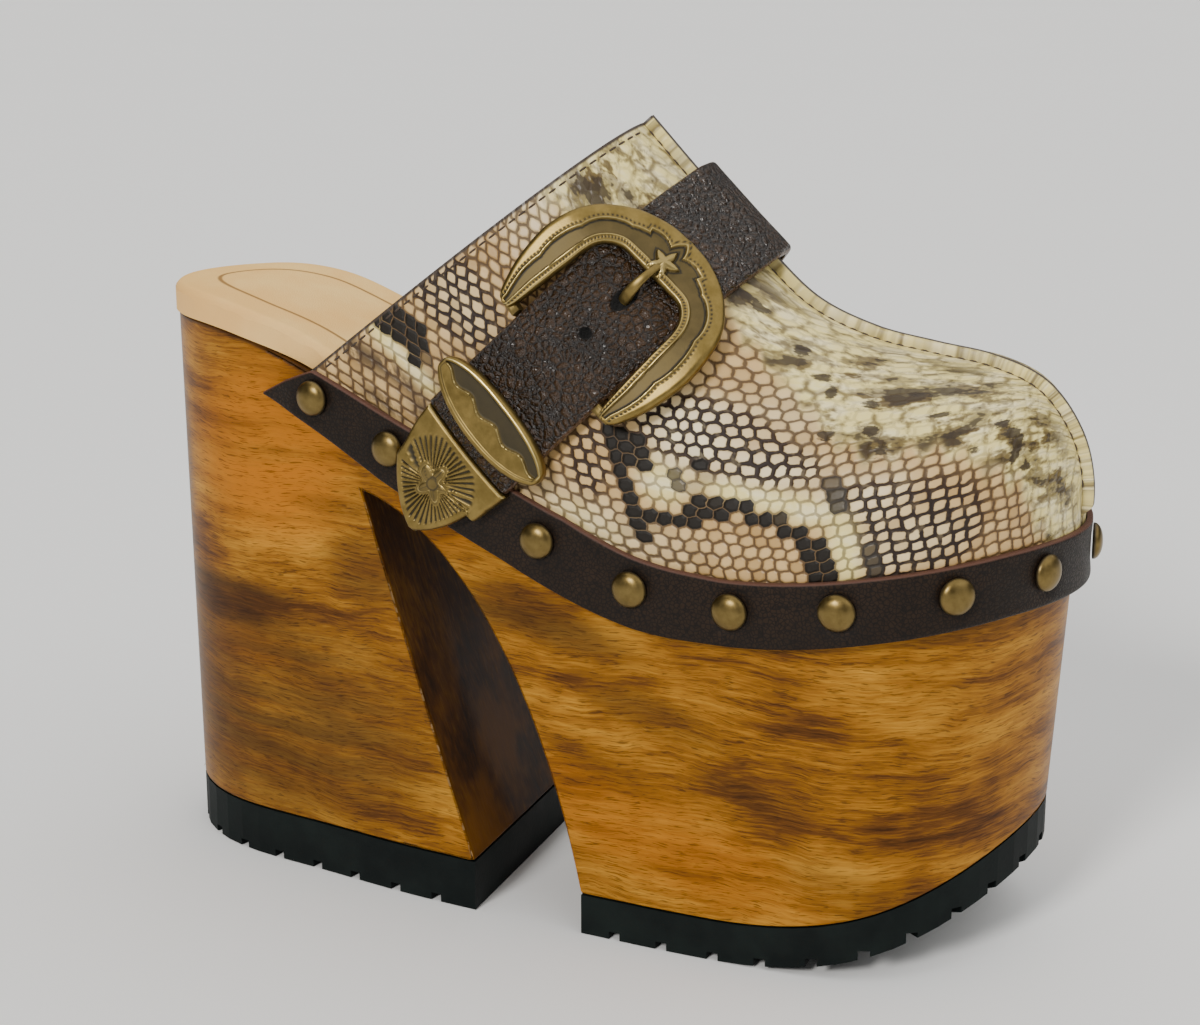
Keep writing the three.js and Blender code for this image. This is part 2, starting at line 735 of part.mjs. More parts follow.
// A sheet in strap coordinates; place(u, v) gives a and b, heights(u, v) gives the lower and upper h
function fitting(stepsU, stepsV, place, heights) {
  return slab(stepsU, stepsV, (u, v, layer) => {
    const { a, b } = place(u, v);
    return strapPoint(a, b, heights(u, v, a, b)[layer]);
  });
}

// A round or oval plug through everything at one place of the strap
function plug(a, b, lengthA, lengthB, low, high) {
  return fitting(16, 1, (u, v) => {
    const angle = 2 * Math.PI * u;
    return { a: a + 0.5 * v * lengthA * Math.cos(angle), b: b + 0.5 * v * lengthB * Math.sin(angle) };
  }, () => [low, high]);
}

function brick(a0, a1, b0, b1, low, high, steps = 2) {
  return fitting(2, steps, (u, v) => {
    return { a: THREE.MathUtils.lerp(a0, a1, u), b: THREE.MathUtils.lerp(b0, b1, v) };
  }, () => [low, high]);
}

function strapGeometry() {
  const half = 0.5 * strapWidth;
  const start = tipDistance + seatGap;
  const strap = fitting(strapSteps, 4, (u, v) => {
    const b = half * (2 * v - 1);
    return { a: THREE.MathUtils.lerp(start, bandEdgeLength(b, 1), u), b };
  }, (u, v, a) => {
    return [strapLift(a), strapLift(a) + strapThickness * (0.8 + 0.2 * fromEdge(v, 8))];
  });
  const top = strapTop(spareHoleDistance) + strapThickness;
  const slotWidth = prongWidth + 4 * seatGap;
  return cut(strap, [
    plug(prongHoleDistance, 0, prongSlotLength, slotWidth, -strapThickness, top),
    plug(spareHoleDistance, 0, spareHoleDiameter, spareHoleDiameter, -strapThickness, top),
  ]);
}

function billetGeometry() {
  const half = 0.5 * billetWidth;
  const end = barDistance - 0.5 * barSize - seatGap;
  return fitting(12, 3, (u, v) => {
    const b = half * (2 * v - 1);
    return { a: THREE.MathUtils.lerp(bandEdgeLength(b, -1), end, u), b };
  }, () => [seatGap, seatGap + billetThickness]);
}

// Buckle: a C-shaped plate over the strap, with legs down to the bar under it
function buckleGeometry() {
  const half = 0.5 * buckleWidth;
  const plate = fitting(plateSteps, 4, (u, v) => {
    const turn = 2 * u - 1;
    const share = Math.abs(turn);
    const row = (name) => along(buckleTable, name, share);
    const alongShare = THREE.MathUtils.lerp(row('innerAlong'), row('outerAlong'), v);
    const acrossShare = THREE.MathUtils.lerp(row('innerAcross'), row('outerAcross'), v);
    return { a: barDistance + buckleLength * alongShare, b: Math.sign(turn) * half * acrossShare };
  }, (u, v, a) => {
    return [strapTop(a), strapTop(a) + buckleThickness * (0.55 + 0.45 * fromEdge(v, 4))];
  });
  const inside = 0.5 * strapWidth + seatGap;
  const outside = half * buckleLegEnd;
  const legs = [-1, 1].map((side) => brick(
    barDistance - 0.5 * barSize, barDistance + barSize,
    Math.min(side * inside, side * outside), Math.max(side * inside, side * outside),
    edgeMargin, strapTop(barDistance) + 0.5 * buckleThickness,
  ));
  const bar = brick(
    barDistance - 0.5 * barSize, barDistance + 0.5 * barSize,
    -inside - 0.5 * barSize, inside + 0.5 * barSize, edgeMargin, edgeMargin + barSize, 10,
  );
  return join([plate, bar, ...legs]);
}

function prongGeometry() {
  const reach = prongHoleDistance - barDistance;
  const path = (u) => new THREE.Vector2(
    barDistance + reach * along(prongTable, 'along', u),
    strapLift(prongHoleDistance) + strapThickness * along(prongTable, 'height', u),
  );
  return slab(20, 3, (u, v, layer) => {
    const step = 0.01;
    const tangent = path(Math.min(u + step, 1)).sub(path(Math.max(u - step, 0))).normalize();
    const taper = 1 - 0.45 * smooth((u - 0.6) / 0.4);
    const edge = v === 0 || v === 1 ? 0.65 : 1;
    const shift = (layer - 0.5) * prongThickness * edge * (1 - 0.35 * smooth((u - 0.7) / 0.3));
    const place = path(u);
    const a = place.x - shift * tangent.y;
    const h = place.y + shift * tangent.x;
    return strapPoint(a, prongWidth * taper * (v - 0.5), h);
  });
}

// Keeper: a domed oval plate over the strap, with a leg beside each of its edges
function keeperGeometry() {
  const half = 0.5 * keeperLength;
  const plate = fitting(22, 4, (u, v) => {
    const share = 2 * u - 1;
    const taper = Math.max(1 - Math.abs(share) ** keeperCurve.fullness, 0) ** keeperCurve.roundness;
    const width = 0.5 * (keeperBreadth * taper + legWidth);
    return { a: keeperDistance + width * (2 * v - 1), b: half * share };
  }, (u, v, a) => {
    const edge = Math.min(fromEdge(v, 4), fromEdge(u, 9) + 0.3);
    return [strapTop(a), strapTop(a) + keeperThickness * (0.5 + 0.5 * edge)];
  });
  const inside = 0.5 * strapWidth + seatGap;
  const outside = inside + legWidth;
  const legs = [-1, 1].map((side) => brick(
    keeperDistance - legWidth, keeperDistance + legWidth,
    Math.min(side * inside, side * outside), Math.max(side * inside, side * outside),
    edgeMargin, strapTop(keeperDistance) + 0.5 * keeperThickness,
  ));
  return join([plate, ...legs]);
}

// Tip: a shield-shaped cap on the end of the strap
function tipGeometry() {
  const half = 0.5 * strapWidth;
  return fitting(16, 6, (u, v) => {
    const taper = Math.max(1 - u ** tipCurve.fullness, 0) ** tipCurve.roundness;
    const width = half * Math.max(taper, tipCurve.point);
    return { a: tipDistance - tipLength * u, b: tipShift + width * (2 * v - 1) };
  }, (u, v, a) => {
    const edge = Math.min(fromEdge(v, 6), 8 * (1 - u) + 0.2);
    return [strapLift(a), strapLift(a) + strapThickness + tipCapThickness * edge];
  });
}

// Materials and assembly

function finish(color, roughness, metalness) {
  return () => new THREE.MeshStandardMaterial({ color, roughness, metalness });
}

const varnishedWood = finish('#8a4d14', 0.25, 0);
const blackRubber = finish('#121814', 0.75, 0);
const tanLeather = finish('#c79a66', 0.7, 0);
const printedLeather = finish('#b9a27c', 0.4, 0);
const brownLeather = finish('#2c1a14', 0.5, 0);
const agedBrass = finish('#7d6a34', 0.4, 0.9);

const shoe = new THREE.Group();

function add(name, geometry, material) {
  const mesh = new THREE.Mesh(geometry, material());
  mesh.name = name;
  shoe.add(mesh);
}

add('sole_block', blockGeometry(), varnishedWood);
add('heel_tread', treadGeometry(heelTreadThickness, -soleLength, breastLength * soleLength), blackRubber);
add(
  'front_tread',
  treadGeometry(frontTreadThickness, platformRearLength * soleLength, 2 * soleLength),
  blackRubber,
);
add('insole', insoleGeometry(), tanLeather);
add('upper', upperGeometry(), printedLeather);
add('rand_band', bandGeometry(), brownLeather);
studPlaces().forEach((place, k) => add(`stud_${k + 1}`, studGeometry(place), agedBrass));
add('strap', strapGeometry(), brownLeather);
add('billet', billetGeometry(), brownLeather);
add('buckle_frame', buckleGeometry(), agedBrass);
add('buckle_prong', prongGeometry(), agedBrass);
add('keeper', keeperGeometry(), agedBrass);
add('strap_tip', tipGeometry(), agedBrass);

// The origin is the middle of the bounding box's base
const bounds = new THREE.Box3().setFromObject(shoe);
const centre = bounds.getCenter(new THREE.Vector3());
shoe.position.set(-centre.x, -centre.y, -bounds.min.z);

export default shoe;
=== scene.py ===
import math
import bmesh
import bpy
import numpy as np
from mathutils import Matrix, Vector


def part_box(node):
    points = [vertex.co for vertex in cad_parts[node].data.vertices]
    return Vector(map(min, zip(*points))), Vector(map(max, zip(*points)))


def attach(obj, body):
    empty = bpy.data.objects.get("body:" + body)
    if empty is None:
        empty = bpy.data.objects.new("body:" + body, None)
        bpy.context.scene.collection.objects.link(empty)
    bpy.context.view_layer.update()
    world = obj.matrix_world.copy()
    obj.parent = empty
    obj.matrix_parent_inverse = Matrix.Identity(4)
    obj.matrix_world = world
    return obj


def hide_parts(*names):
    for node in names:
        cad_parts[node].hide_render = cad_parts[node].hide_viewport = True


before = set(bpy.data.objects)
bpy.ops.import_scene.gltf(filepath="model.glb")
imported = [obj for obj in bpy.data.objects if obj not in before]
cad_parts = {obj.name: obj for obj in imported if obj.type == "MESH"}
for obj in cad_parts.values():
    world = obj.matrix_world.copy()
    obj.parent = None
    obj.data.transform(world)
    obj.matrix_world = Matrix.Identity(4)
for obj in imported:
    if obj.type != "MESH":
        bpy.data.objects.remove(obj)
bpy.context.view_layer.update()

mm = 0.001

# The last and the block in millimetres: x from the heel to the toe, -y the outer side, z over the floor.
# The columns of plan are the control points of a closed curve, heel first, then the outer side; those
# of section run from the collar to the toe. All are shares of the sizes before them.
last = {
    "soleLength": 245.0, "ballWidth": 100.0, "heelHeight": 148.0, "platformHeight": 97.0,
    "toeSeatRise": 8.8, "toeSpring": 22.9, "toeDraft": 4.1, "heelDraft": 1.0,
    "instepHeight": 54.2, "toeBoxHeight": 51.4, "seatGap": 0.3, "wall": 1.6, "margin": 9.5,
    "ridgeShift": 0.04,
    "planLength": [-0.033, 0.065, 0.204, 0.33, 0.465, 0.598, 0.73, 0.87, 0.968, 1.02, 0.965, 0.845,
                   0.715, 0.585, 0.455, 0.322, 0.194, 0.06],
    "planWidth": [0.018, -0.265, -0.3, -0.375, -0.408, -0.437, -0.465, -0.49, -0.27, 0.075, 0.36, 0.545,
                  0.475, 0.415, 0.355, 0.35, 0.345, 0.32],
    "feather": [0.24, 0.33, 0.42, 0.515, 0.61, 0.695, 0.77, 0.84, 0.9, 0.95, 1.0],
    "ridge": [0.542, 0.6, 0.66, 0.722, 0.788, 0.852, 0.912, 0.962, 0.995, 1.009, 1.008],
    "box": [1.0, 1.0, 1.0, 1.0, 1.0, 1.0, 0.971, 0.872, 0.671, 0.438, 0.171],
    "climb": [1.0, 0.723, 0.453, 0.199, 0.07, 0.015, 0.0, 0.0, 0.0, 0.0, 0.0],
    "power": [2.25, 2.25, 2.25, 2.3, 2.35, 2.4, 2.45, 2.4, 2.3, 2.15, 2.0],
}
upperOffset = last["seatGap"] + last["wall"]
throatRise = (last["heelHeight"] + last["instepHeight"] - last["platformHeight"] - last["toeBoxHeight"])
ridgeY = last["ridgeShift"] * last["ballWidth"]


def smooth(value):
    # 0 below 0, 1 above 1, and 3v^2 - 2v^3 between
    share = np.clip(value, 0.0, 1.0)
    return share * share * (3.0 - 2.0 * share)


def lerp(low, high, share):
    return low + (high - low) * share


def edgeColumns(count):
    # shares from 0 to 1, closer together at both ends
    return 0.5 - 0.5 * np.cos(np.linspace(0.0, math.pi, count + 1))


def rounded(inward, radius):
    # the height of a quarter circle, as a share of its radius, at a distance inward from the edge
    return np.sqrt(np.maximum(1.0 - np.maximum(1.0 - inward / radius, 0.0) ** 2, 0.0))


def along(column, share):
    # a Catmull-Rom curve through evenly spaced values
    values = np.asarray(column, float)
    count = len(values) - 1
    ends = np.concatenate([[2 * values[0] - values[1]], values, [2 * values[-1] - values[-2]]])
    place = np.clip(share, 0.0, 1.0) * count
    index = np.minimum(np.floor(place).astype(int), count - 1)
    f = place - index
    a, b, c, d = ends[index], ends[index + 1], ends[index + 2], ends[index + 3]
    return b + 0.5 * f * (c - a + f * (2 * a - 5 * b + 4 * c - d + f * (3 * (b - c) + d - a)))


def seatHeight(x):
    # height of the block's top: it falls from the heel to the ball and rises a little at the toe
    share = x / last["soleLength"]
    drop = smooth((share - 0.06) / 0.6)
    rise = smooth((share - 0.7) / 0.3)
    return lerp(last["heelHeight"], last["platformHeight"], drop) + last["toeSeatRise"] * rise


def groundHeight(x):
    # the tread's underside: flat, then a parabola up to the toe
    share = np.maximum(x / last["soleLength"] - 0.69, 0.0) / 0.31
    return last["toeSpring"] * share * share


def draft(x):
    # how far the block's sides come in at the floor
    share = x / last["soleLength"]
    return last["toeDraft"] * smooth((share - 0.6) / 0.4) + last["heelDraft"] * smooth((0.3 - share) / 0.3)


def planPoint(turn, offset=0.0):
    # a closed cubic B-spline, moved out along its normal: x, y, x before the move, and the normal
    lengths = np.asarray(last["planLength"]) * last["soleLength"]
    widths = np.asarray(last["planWidth"]) * last["ballWidth"]
    count = len(lengths)
    place = np.mod(turn, 1.0) * count
    index = np.floor(place).astype(int)
    f = place - index
    g = 1.0 - f
    weights = np.stack([g**3, 3 * f**3 - 6 * f * f + 4, -3 * f**3 + 3 * f * f + 3 * f + 1, f**3]) / 6.0
    slopes = np.stack([-g * g, 3 * f * f - 4 * f, -3 * f * f + 2 * f + 1, f * f])
    rows = np.stack([(index + k) % count for k in (-1, 0, 1, 2)])
    x = (weights * lengths[rows]).sum(0)
    y = (weights * widths[rows]).sum(0)
    slopeX = (slopes * lengths[rows]).sum(0)
    slopeY = (slopes * widths[rows]).sum(0)
    size = np.hypot(slopeX, slopeY)
    outX, outY = slopeY / size, -slopeX / size
    return x + offset * outX, y + offset * outY, x, outX, outY


def sidePoint(share, side, offset=0.0):
    # the same curve by share of one side; side is -1 for the outer and 1 for the inner side
    return planPoint(np.where(side < 0, 0.5 * share, 1.0 - 0.5 * share), offset)


def ridgePoint(section, depth=0.0):
    # the top line in side view, lowered along its own normal by depth: x, z and the normal
    toeX, _, toeBase, _, _ = sidePoint(np.array(1.0), -1, upperOffset)

    def place(s):
        fade = smooth((s - 0.955) / 0.045)
        x = along(last["ridge"], s) * last["soleLength"]
        z = (last["platformHeight"] + last["toeBoxHeight"] * along(last["box"], s)
             + throatRise * along(last["climb"], s))
        return lerp(x, toeX, fade), lerp(z, seatHeight(toeBase), fade)

    aheadX, aheadZ = place(np.minimum(section + 1e-3, 1.0))
    backX, backZ = place(np.maximum(section - 1e-3, 0.0))
    slopeX, slopeZ = aheadX - backX, aheadZ - backZ
    size = np.hypot(slopeX, slopeZ)
    forward = smooth((section - 0.955) / 0.045)
    normalX = lerp(-slopeZ / size, 1.0, forward)
    normalZ = lerp(slopeX / size, 0.0, forward)
    size = np.hypot(normalX, normalZ)
    normalX, normalZ = normalX / size, normalZ / size
    x, z = place(section)
    return x - depth * normalX, z - depth * normalZ, normalX, normalZ


def skin(section, turn, depth=0.0):
    # the upper's surface: each section is a quarter of a superellipse from the feather to the ridge on
    # either side; turn is 0 at the outer feather, 1 at the ridge and 2 at the inner feather
    section, turn, depth = np.broadcast_arrays(
        np.asarray(section, float), np.asarray(turn, float), np.asarray(depth, float))
    side = np.where(turn <= 1.0, -1, 1)
    rise = np.where(turn <= 1.0, turn, 2.0 - turn)
    angle = np.clip(rise, 0.0, 1.0) * math.pi / 2
    power = 2.0 / along(last["power"], section)
    footX, footY, footBase, _, _ = sidePoint(along(last["feather"], section), side, upperOffset - depth)
    footZ = seatHeight(footBase)
    topX, topZ, _, _ = ridgePoint(section, depth)
    inward = 1.0 - np.maximum(np.cos(angle), 0.0) ** power
    upward = np.sin(angle) ** power
    forward = upward ** (1.0 + smooth((section - 0.45) / 0.4))
    topY = ridgeY + side * 1.5 * smooth((1.0 - section) / 0.06)
    return np.stack([
        lerp(footX, topX, forward),
        lerp(footY, topY, inward),
        lerp(footZ, topZ, upward) + np.minimum(rise, 0.0) * last["margin"],
    ], -1)


def unit(vectors):
    return vectors / np.maximum(np.linalg.norm(vectors, axis=-1, keepdims=True), 1e-9)


def skinNormal(section, turn):
    step = 2e-3
    length = skin(np.minimum(section + step, 1.0), turn) - skin(np.maximum(section - step, 0.0), turn)
    girth = skin(section, turn + step) - skin(section, turn - step)
    return unit(np.cross(length, girth))


# The frame's origin is the middle of the box's base, so the block's own box gives the shift to it
ringX, ringY = planPoint(np.arange(88) / 88.0)[:2]
blockLow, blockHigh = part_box("sole_block")
shift = np.array([
    500.0 * (blockLow.x + blockHigh.x) - 0.5 * (ringX.min() + ringX.max()),
    500.0 * (blockLow.y + blockHigh.y) - 0.5 * (ringY.min() + ringY.max()),
    0.0,
])


def toFrame(points):
    return (np.asarray(points) + shift) * mm


# The block's notch: shares of the last's sizes
block = {
    "apexLength": 0.285, "apexHeight": 0.741, "breastLength": 0.417, "platformRear": 0.543,
    "curveLengths": [0.81, 0.45], "curveHeights": [0.56, 0.94],
    "heelTread": 13.8, "frontTread": 10.9, "across": 24, "rows": 48,
    "columns": [80, 26, 24, 100], "arris": 0.7,
}
apexX, apexZ = block["apexLength"] * last["soleLength"], block["apexHeight"] * last["heelHeight"]
breastX = block["breastLength"] * last["soleLength"]
rearX = block["platformRear"] * last["soleLength"]
heelEdge = {
    "low": block["heelTread"], "high": apexZ, "start": breastX,
    "lean": (apexX - breastX) / (apexZ - block["heelTread"]),
}

# Meshes

def gridFaces(rows, columns, start=0, closed=False):
    # quads of a grid of points counted row by row; closed joins the last column to the first
    spans = columns if closed else columns - 1
    low = (np.arange(rows - 1)[:, None] * columns + np.arange(spans)[None, :]).ravel()
    step = np.tile((np.arange(spans) + 1) % columns - np.arange(spans), rows - 1)
    return np.stack([low, low + step, low + step + columns, low + columns], 1) + start


def slabFaces(rows, columns, foldedEnd=False):
    # a closed sheet: points of one surface, then of the other, with walls along the four edges
    size = rows * columns
    faces = [gridFaces(rows, columns), gridFaces(rows, columns, size)[:, ::-1]]
    across = np.arange(columns - 1)
    ahead = np.arange(rows - 1) * columns
    edges = [(across[::-1] + 1, across[::-1])]
    if not foldedEnd:
        edges.append((across + size - columns, across + size - columns + 1))
    edges.append((ahead, ahead + columns))
    edges.append((ahead[::-1] + 2 * columns - 1, ahead[::-1] + columns - 1))
    for a, b in edges:
        faces.append(np.stack([b, a, a + size, b + size], 1))
    return np.concatenate(faces)


def signedVolume(points, faces):
    a, b, c, d = (points[faces[:, k]] for k in range(4))
    return (np.einsum("ij,ij->i", a, np.cross(b, c)) + np.einsum("ij,ij->i", a, np.cross(c, d))).sum()


def makePiece(name, points, faces, materials, slotName, nodes=(), uv=None, values=None, inner=None,
              caps=None, angle=40.0, merge=False):
    # points in millimetres of the last's own frame; uv and values are given for each point
    points = np.asarray(points, float).reshape(-1, 3)
    faces = np.asarray(faces)
    if signedVolume(points, faces) < 0:
        faces = faces[:, ::-1]
    mesh = bpy.data.meshes.new(name)
    mesh.from_pydata(toFrame(points).tolist(), [], faces.tolist() + (caps or []))
    if uv is not None:
        layer = mesh.uv_layers.new(name="Plan")
        corners = np.empty(len(mesh.loops), np.int32)
        mesh.loops.foreach_get("vertex_index", corners)
        layer.data.foreach_set("uv", np.asarray(uv, float).reshape(-1, 2)[corners].ravel())
    for key, value in (values or {}).items():
        attribute = mesh.attributes.new(key, "FLOAT", "POINT")
        attribute.data.foreach_set("value", np.asarray(value, float).ravel())
    for material in materials:
        mesh.materials.append(material)
    if inner is not None:
        mesh.polygons.foreach_set("material_index", np.asarray(inner, np.int32))
    mesh.polygons.foreach_set("use_smooth", np.ones(len(mesh.polygons), bool))
    work = bmesh.new()
    work.from_mesh(mesh)
    if merge:
        bmesh.ops.remove_doubles(work, verts=work.verts, dist=1e-6)
        bmesh.ops.dissolve_degenerate(work, edges=work.edges, dist=1e-7)
        bmesh.ops.recalc_face_normals(work, faces=work.faces)
    work.to_mesh(mesh)
    work.free()
    mesh.set_sharp_from_angle(angle=math.radians(angle))
    piece = bpy.data.objects.new(name, mesh)
    bpy.context.scene.collection.objects.link(piece)
    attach(piece, "root")
    if nodes:
        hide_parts(*nodes)
    return piece


def addBevel(piece, width, segments=2, angle=35.0):
    bevel = piece.modifiers.new("Bevel", "BEVEL")
    bevel.width = width * mm
    bevel.segments = segments
    bevel.limit_method = "ANGLE"
    bevel.angle_limit = math.radians(angle)
    bevel.use_clamp_overlap = False
    bevel.harden_normals = True


# Materials

class Shade:
    # a socket of a material's nodes; its sums and products add Math nodes
    def __init__(self, tree, socket):
        self.tree = tree
        self.socket = socket

    def make(self, kind, settings=None, values=None, output=0):
        node = self.tree.nodes.new(kind)
        for key, value in (settings or {}).items():
            if key == "stops":
                fillRamp(node.color_ramp, value)
            else:
                setattr(node, key, value)
        for key, value in (values or {}).items():
            if isinstance(value, Shade):
                self.tree.links.new(value.socket, node.inputs[key])
            else:
                node.inputs[key].default_value = value
        return Shade(self.tree, node.outputs[output])

    def math(self, operation, other=0.0, clamp=False):
        return self.make("ShaderNodeMath", {"operation": operation, "use_clamp": clamp},
                         {0: self, 1: other})

    def __add__(self, other):
        return self.math("ADD", other)

    def __sub__(self, other):
        return self.math("SUBTRACT", other)

    def __rsub__(self, other):
        return self.make("ShaderNodeMath", {"operation": "SUBTRACT"}, {0: other, 1: self})

    def __mul__(self, other):
        return self.math("MULTIPLY", other)

    __radd__ = __add__
    __rmul__ = __mul__

    def lower(self, other):
        return self.math("MINIMUM", other)

    def upper(self, other):
        return self.math("MAXIMUM", other)

    def step(self, low, high):
        # a smooth step from 0 at low to 1 at high, or down where low is above high
        return self.make("ShaderNodeMapRange", {"interpolation_type": "SMOOTHSTEP"},
                         {0: self, 1: low, 2: high, 3: 0.0, 4: 1.0})

    def blend(self, low, high):
        # colours from low to high by this value
        return self.make("ShaderNodeMix", {"data_type": "RGBA"}, {0: self, 6: low, 7: high}, 2)

    def scaled(self, factor):
        return self.make("ShaderNodeVectorMath", {"operation": "MULTIPLY"}, {0: self, 1: factor})

    def moved(self, offset):
        return self.make("ShaderNodeVectorMath", {"operation": "ADD"}, {0: self, 1: offset})

    def noise(self, scale, detail=2.0, roughness=0.5, output=0):
        return self.make("ShaderNodeTexNoise", None, {
            "Vector": self, "Scale": scale, "Detail": detail, "Roughness": roughness}, output)

    def cells(self, scale):
        # distance to the edge of irregular cells
        return self.make("ShaderNodeTexVoronoi", {"feature": "DISTANCE_TO_EDGE"},
                         {"Vector": self, "Scale": scale, "Randomness": 1.0})

    def ramp(self, stops):
        return self.make("ShaderNodeValToRGB", {"stops": stops}, {0: self})

    def fromSegment(self, start, end):
        # distance in the plan from the stretch between two places
        reach = (end[0] - start[0], end[1] - start[1], 0.0)
        size = max(reach[0] ** 2 + reach[1] ** 2, 1e-6)
        offset = self.moved((-start[0], -start[1], 0.0))
        share = offset.make("ShaderNodeVectorMath", {"operation": "DOT_PRODUCT"}, {0: offset, 1: reach}, 1)
        share = share.math("DIVIDE", size, clamp=True)
        nearest = share.make("ShaderNodeVectorMath", {"operation": "SCALE"}, {0: reach, "Scale": share})
        return offset.make("ShaderNodeVectorMath", {"operation": "DISTANCE"}, {0: offset, 1: nearest}, 1)

    def part(self, index):
        return self.make("ShaderNodeSeparateXYZ", None, {0: self}, index)

    def bump(self, distance, strength=1.0):
        return self.make("ShaderNodeBump", None, {
            "Height": self, "Distance": distance, "Strength": strength})


def fillRamp(ramp, stops):
    while len(ramp.elements) < len(stops):
        ramp.elements.new(1.0)
    for element, (place, color) in zip(ramp.elements, stops):
        element.position = place
        element.color = color


def rgb(red, green, blue):
    return (red, green, blue, 1.0)


class Finish:
    # a material with one Principled shader, its constants set on the shader's own sockets
    def __init__(self, name, constants):
        self.material = bpy.data.materials.new(name)
        self.material.use_nodes = True
        self.tree = self.material.node_tree
        self.shader = self.tree.nodes["Principled BSDF"]
        self.start = Shade(self.tree, None)
        for key, value in constants.items():
            self.shader.inputs[key].default_value = value

    def place(self, source="Object"):
        kinds = {"Object": 3, "UV": 2}
        return self.start.make("ShaderNodeTexCoord", None, None, kinds[source])

    def value(self, name):
        return self.start.make("ShaderNodeAttribute", {"attribute_name": name}, None, 2)

    def drive(self, key, shade):
        self.tree.links.new(shade.socket, self.shader.inputs[key])


# Tones of the varnished wood. The soft dark places on the block's sides are partly dark stain and partly
# painted shade, and the warm places are painted orange sheen; both in millimetres forward from the heel and
# up from the floor
woodLook = {
    "dark": rgb(0.030, 0.010, 0.0015), "brown": rgb(0.115, 0.040, 0.005), "amber": rgb(0.28, 0.112, 0.008),
    "light": rgb(0.52, 0.25, 0.026), "stainAndShadow": rgb(0.030, 0.012, 0.003), "orange": rgb(0.44, 0.145, 0.006),
    # columns: length from the heel, height, reach along, reach up, strength
    "stainAndShade": [(18, 72, 40, 8, 1.0), (44, 52, 26, 6, 0.8), (6, 38, 18, 9, 0.7), (0, 105, 9, 46, 0.7),
                (70, 88, 14, 10, 0.6), (30, 24, 26, 5, 0.4), (34, 44, 60, 34, 0.8),
                (118, 84, 30, 7, 0.75), (152, 72, 24, 6, 0.55), (178, 62, 14, 4, 0.5), (140, 52, 18, 4, 0.45),
                (205, 46, 20, 8, 0.35), (60, 104, 14, 3, 0.4)],
    "paintedSheen": [(40, 116, 26, 26, 1.0), (30, 60, 16, 5, 0.5), (150, 40, 46, 14, 0.5), (96, 108, 16, 10, 0.6)],
}


def woodFinish():
    # fine wavy grain along the block, dark patches that are partly stain and partly painted shade, painted
    # orange sheen, painted shade under the top edge and a gloss varnish, worn pale along the heel's edge
    finish = Finish("VarnishedWood", {
        "Coat Weight": 0.14, "Coat Roughness": 0.1, "Coat IOR": 1.4, "Specular IOR Level": 0.06})
    place = finish.place()
    slow = place.noise(26.0, 2.0, 0.5, output=1).moved((-0.5, -0.5, -0.5)).scaled((0.0, 0.0, 0.008))
    quick = place.noise(170.0, 2.0, 0.5, output=1).moved((-0.5, -0.5, -0.5)).scaled((0.003, 0.003, 0.0013))
    warped = place.moved(slow)
    wiggled = warped.moved(quick)
    strokes = wiggled.scaled((120.0, 120.0, 1900.0)).noise(1.0, 4.0, 0.6)
    bands = warped.scaled((13.0, 13.0, 190.0)).noise(1.0, 4.0, 0.62)
    pores = wiggled.scaled((240.0, 240.0, 3400.0)).noise(1.0, 2.0, 0.5)
    cloud = place.scaled((24.0, 24.0, 60.0)).noise(1.0, 3.0, 0.6)
    length, height = place.part(0) * 1000.0 - float(shift[0]), place.part(2) * 1000.0
    tilted = height + (length - 120.0) * 0.28 * length.step(95.0, 120.0)
    tone = strokes * 0.24 + bands * 0.36 + cloud * 0.40
    color = tone.ramp([(0.34, woodLook["dark"]), (0.43, woodLook["brown"]), (0.51, woodLook["amber"]),
                       (0.63, woodLook["light"])])
    # the warm places are painted orange sheen; the dark places are partly dark stain and partly painted shade
    for name, target in (("paintedSheen", "orange"), ("stainAndShade", "stainAndShadow")):
        total = None
        for row in woodLook[name]:
            across = (length - row[0]) * (1.0 / row[2])
            upward = (tilted - row[1]) * (1.0 / row[3])
            away = across * across + upward * upward
            spot = away.step(1.6, 0.0) * row[4]
            total = spot if total is None else total.upper(spot)
        ragged = total * (bands.step(0.30, 0.62) * 0.7 + 0.3)
        color = ragged.blend(color, woodLook[target])
    fibre = pores.step(0.44, 0.34) * 0.6
    color = fibre.blend(color, woodLook["dark"])
    edgeLength = (height - heelEdge["low"]) * heelEdge["lean"] + heelEdge["start"]
    below = height.step(heelEdge["high"], heelEdge["high"] - 6)
    worn = (length - edgeLength).math("ABSOLUTE").step(0.9, 0.3) * below
    worn = worn * place.noise(420.0, 2.0, 0.6).step(0.48, 0.60) * 0.8
    color = worn.blend(color, rgb(0.55, 0.36, 0.16))
    # painted shade: the block's sides darken in their top 1.8 mm, under the upper and the insole
    color = (finish.value("fromTop").step(1.8, 0.4) * 0.85).blend(color, woodLook["stainAndShadow"])
    finish.drive("Base Color", color)
    finish.drive("Roughness", strokes * 0.25 + 0.30)
    finish.drive("Normal", (strokes * 0.5 + bands * 0.5).bump(0.00035, 0.3))
    return finish.material


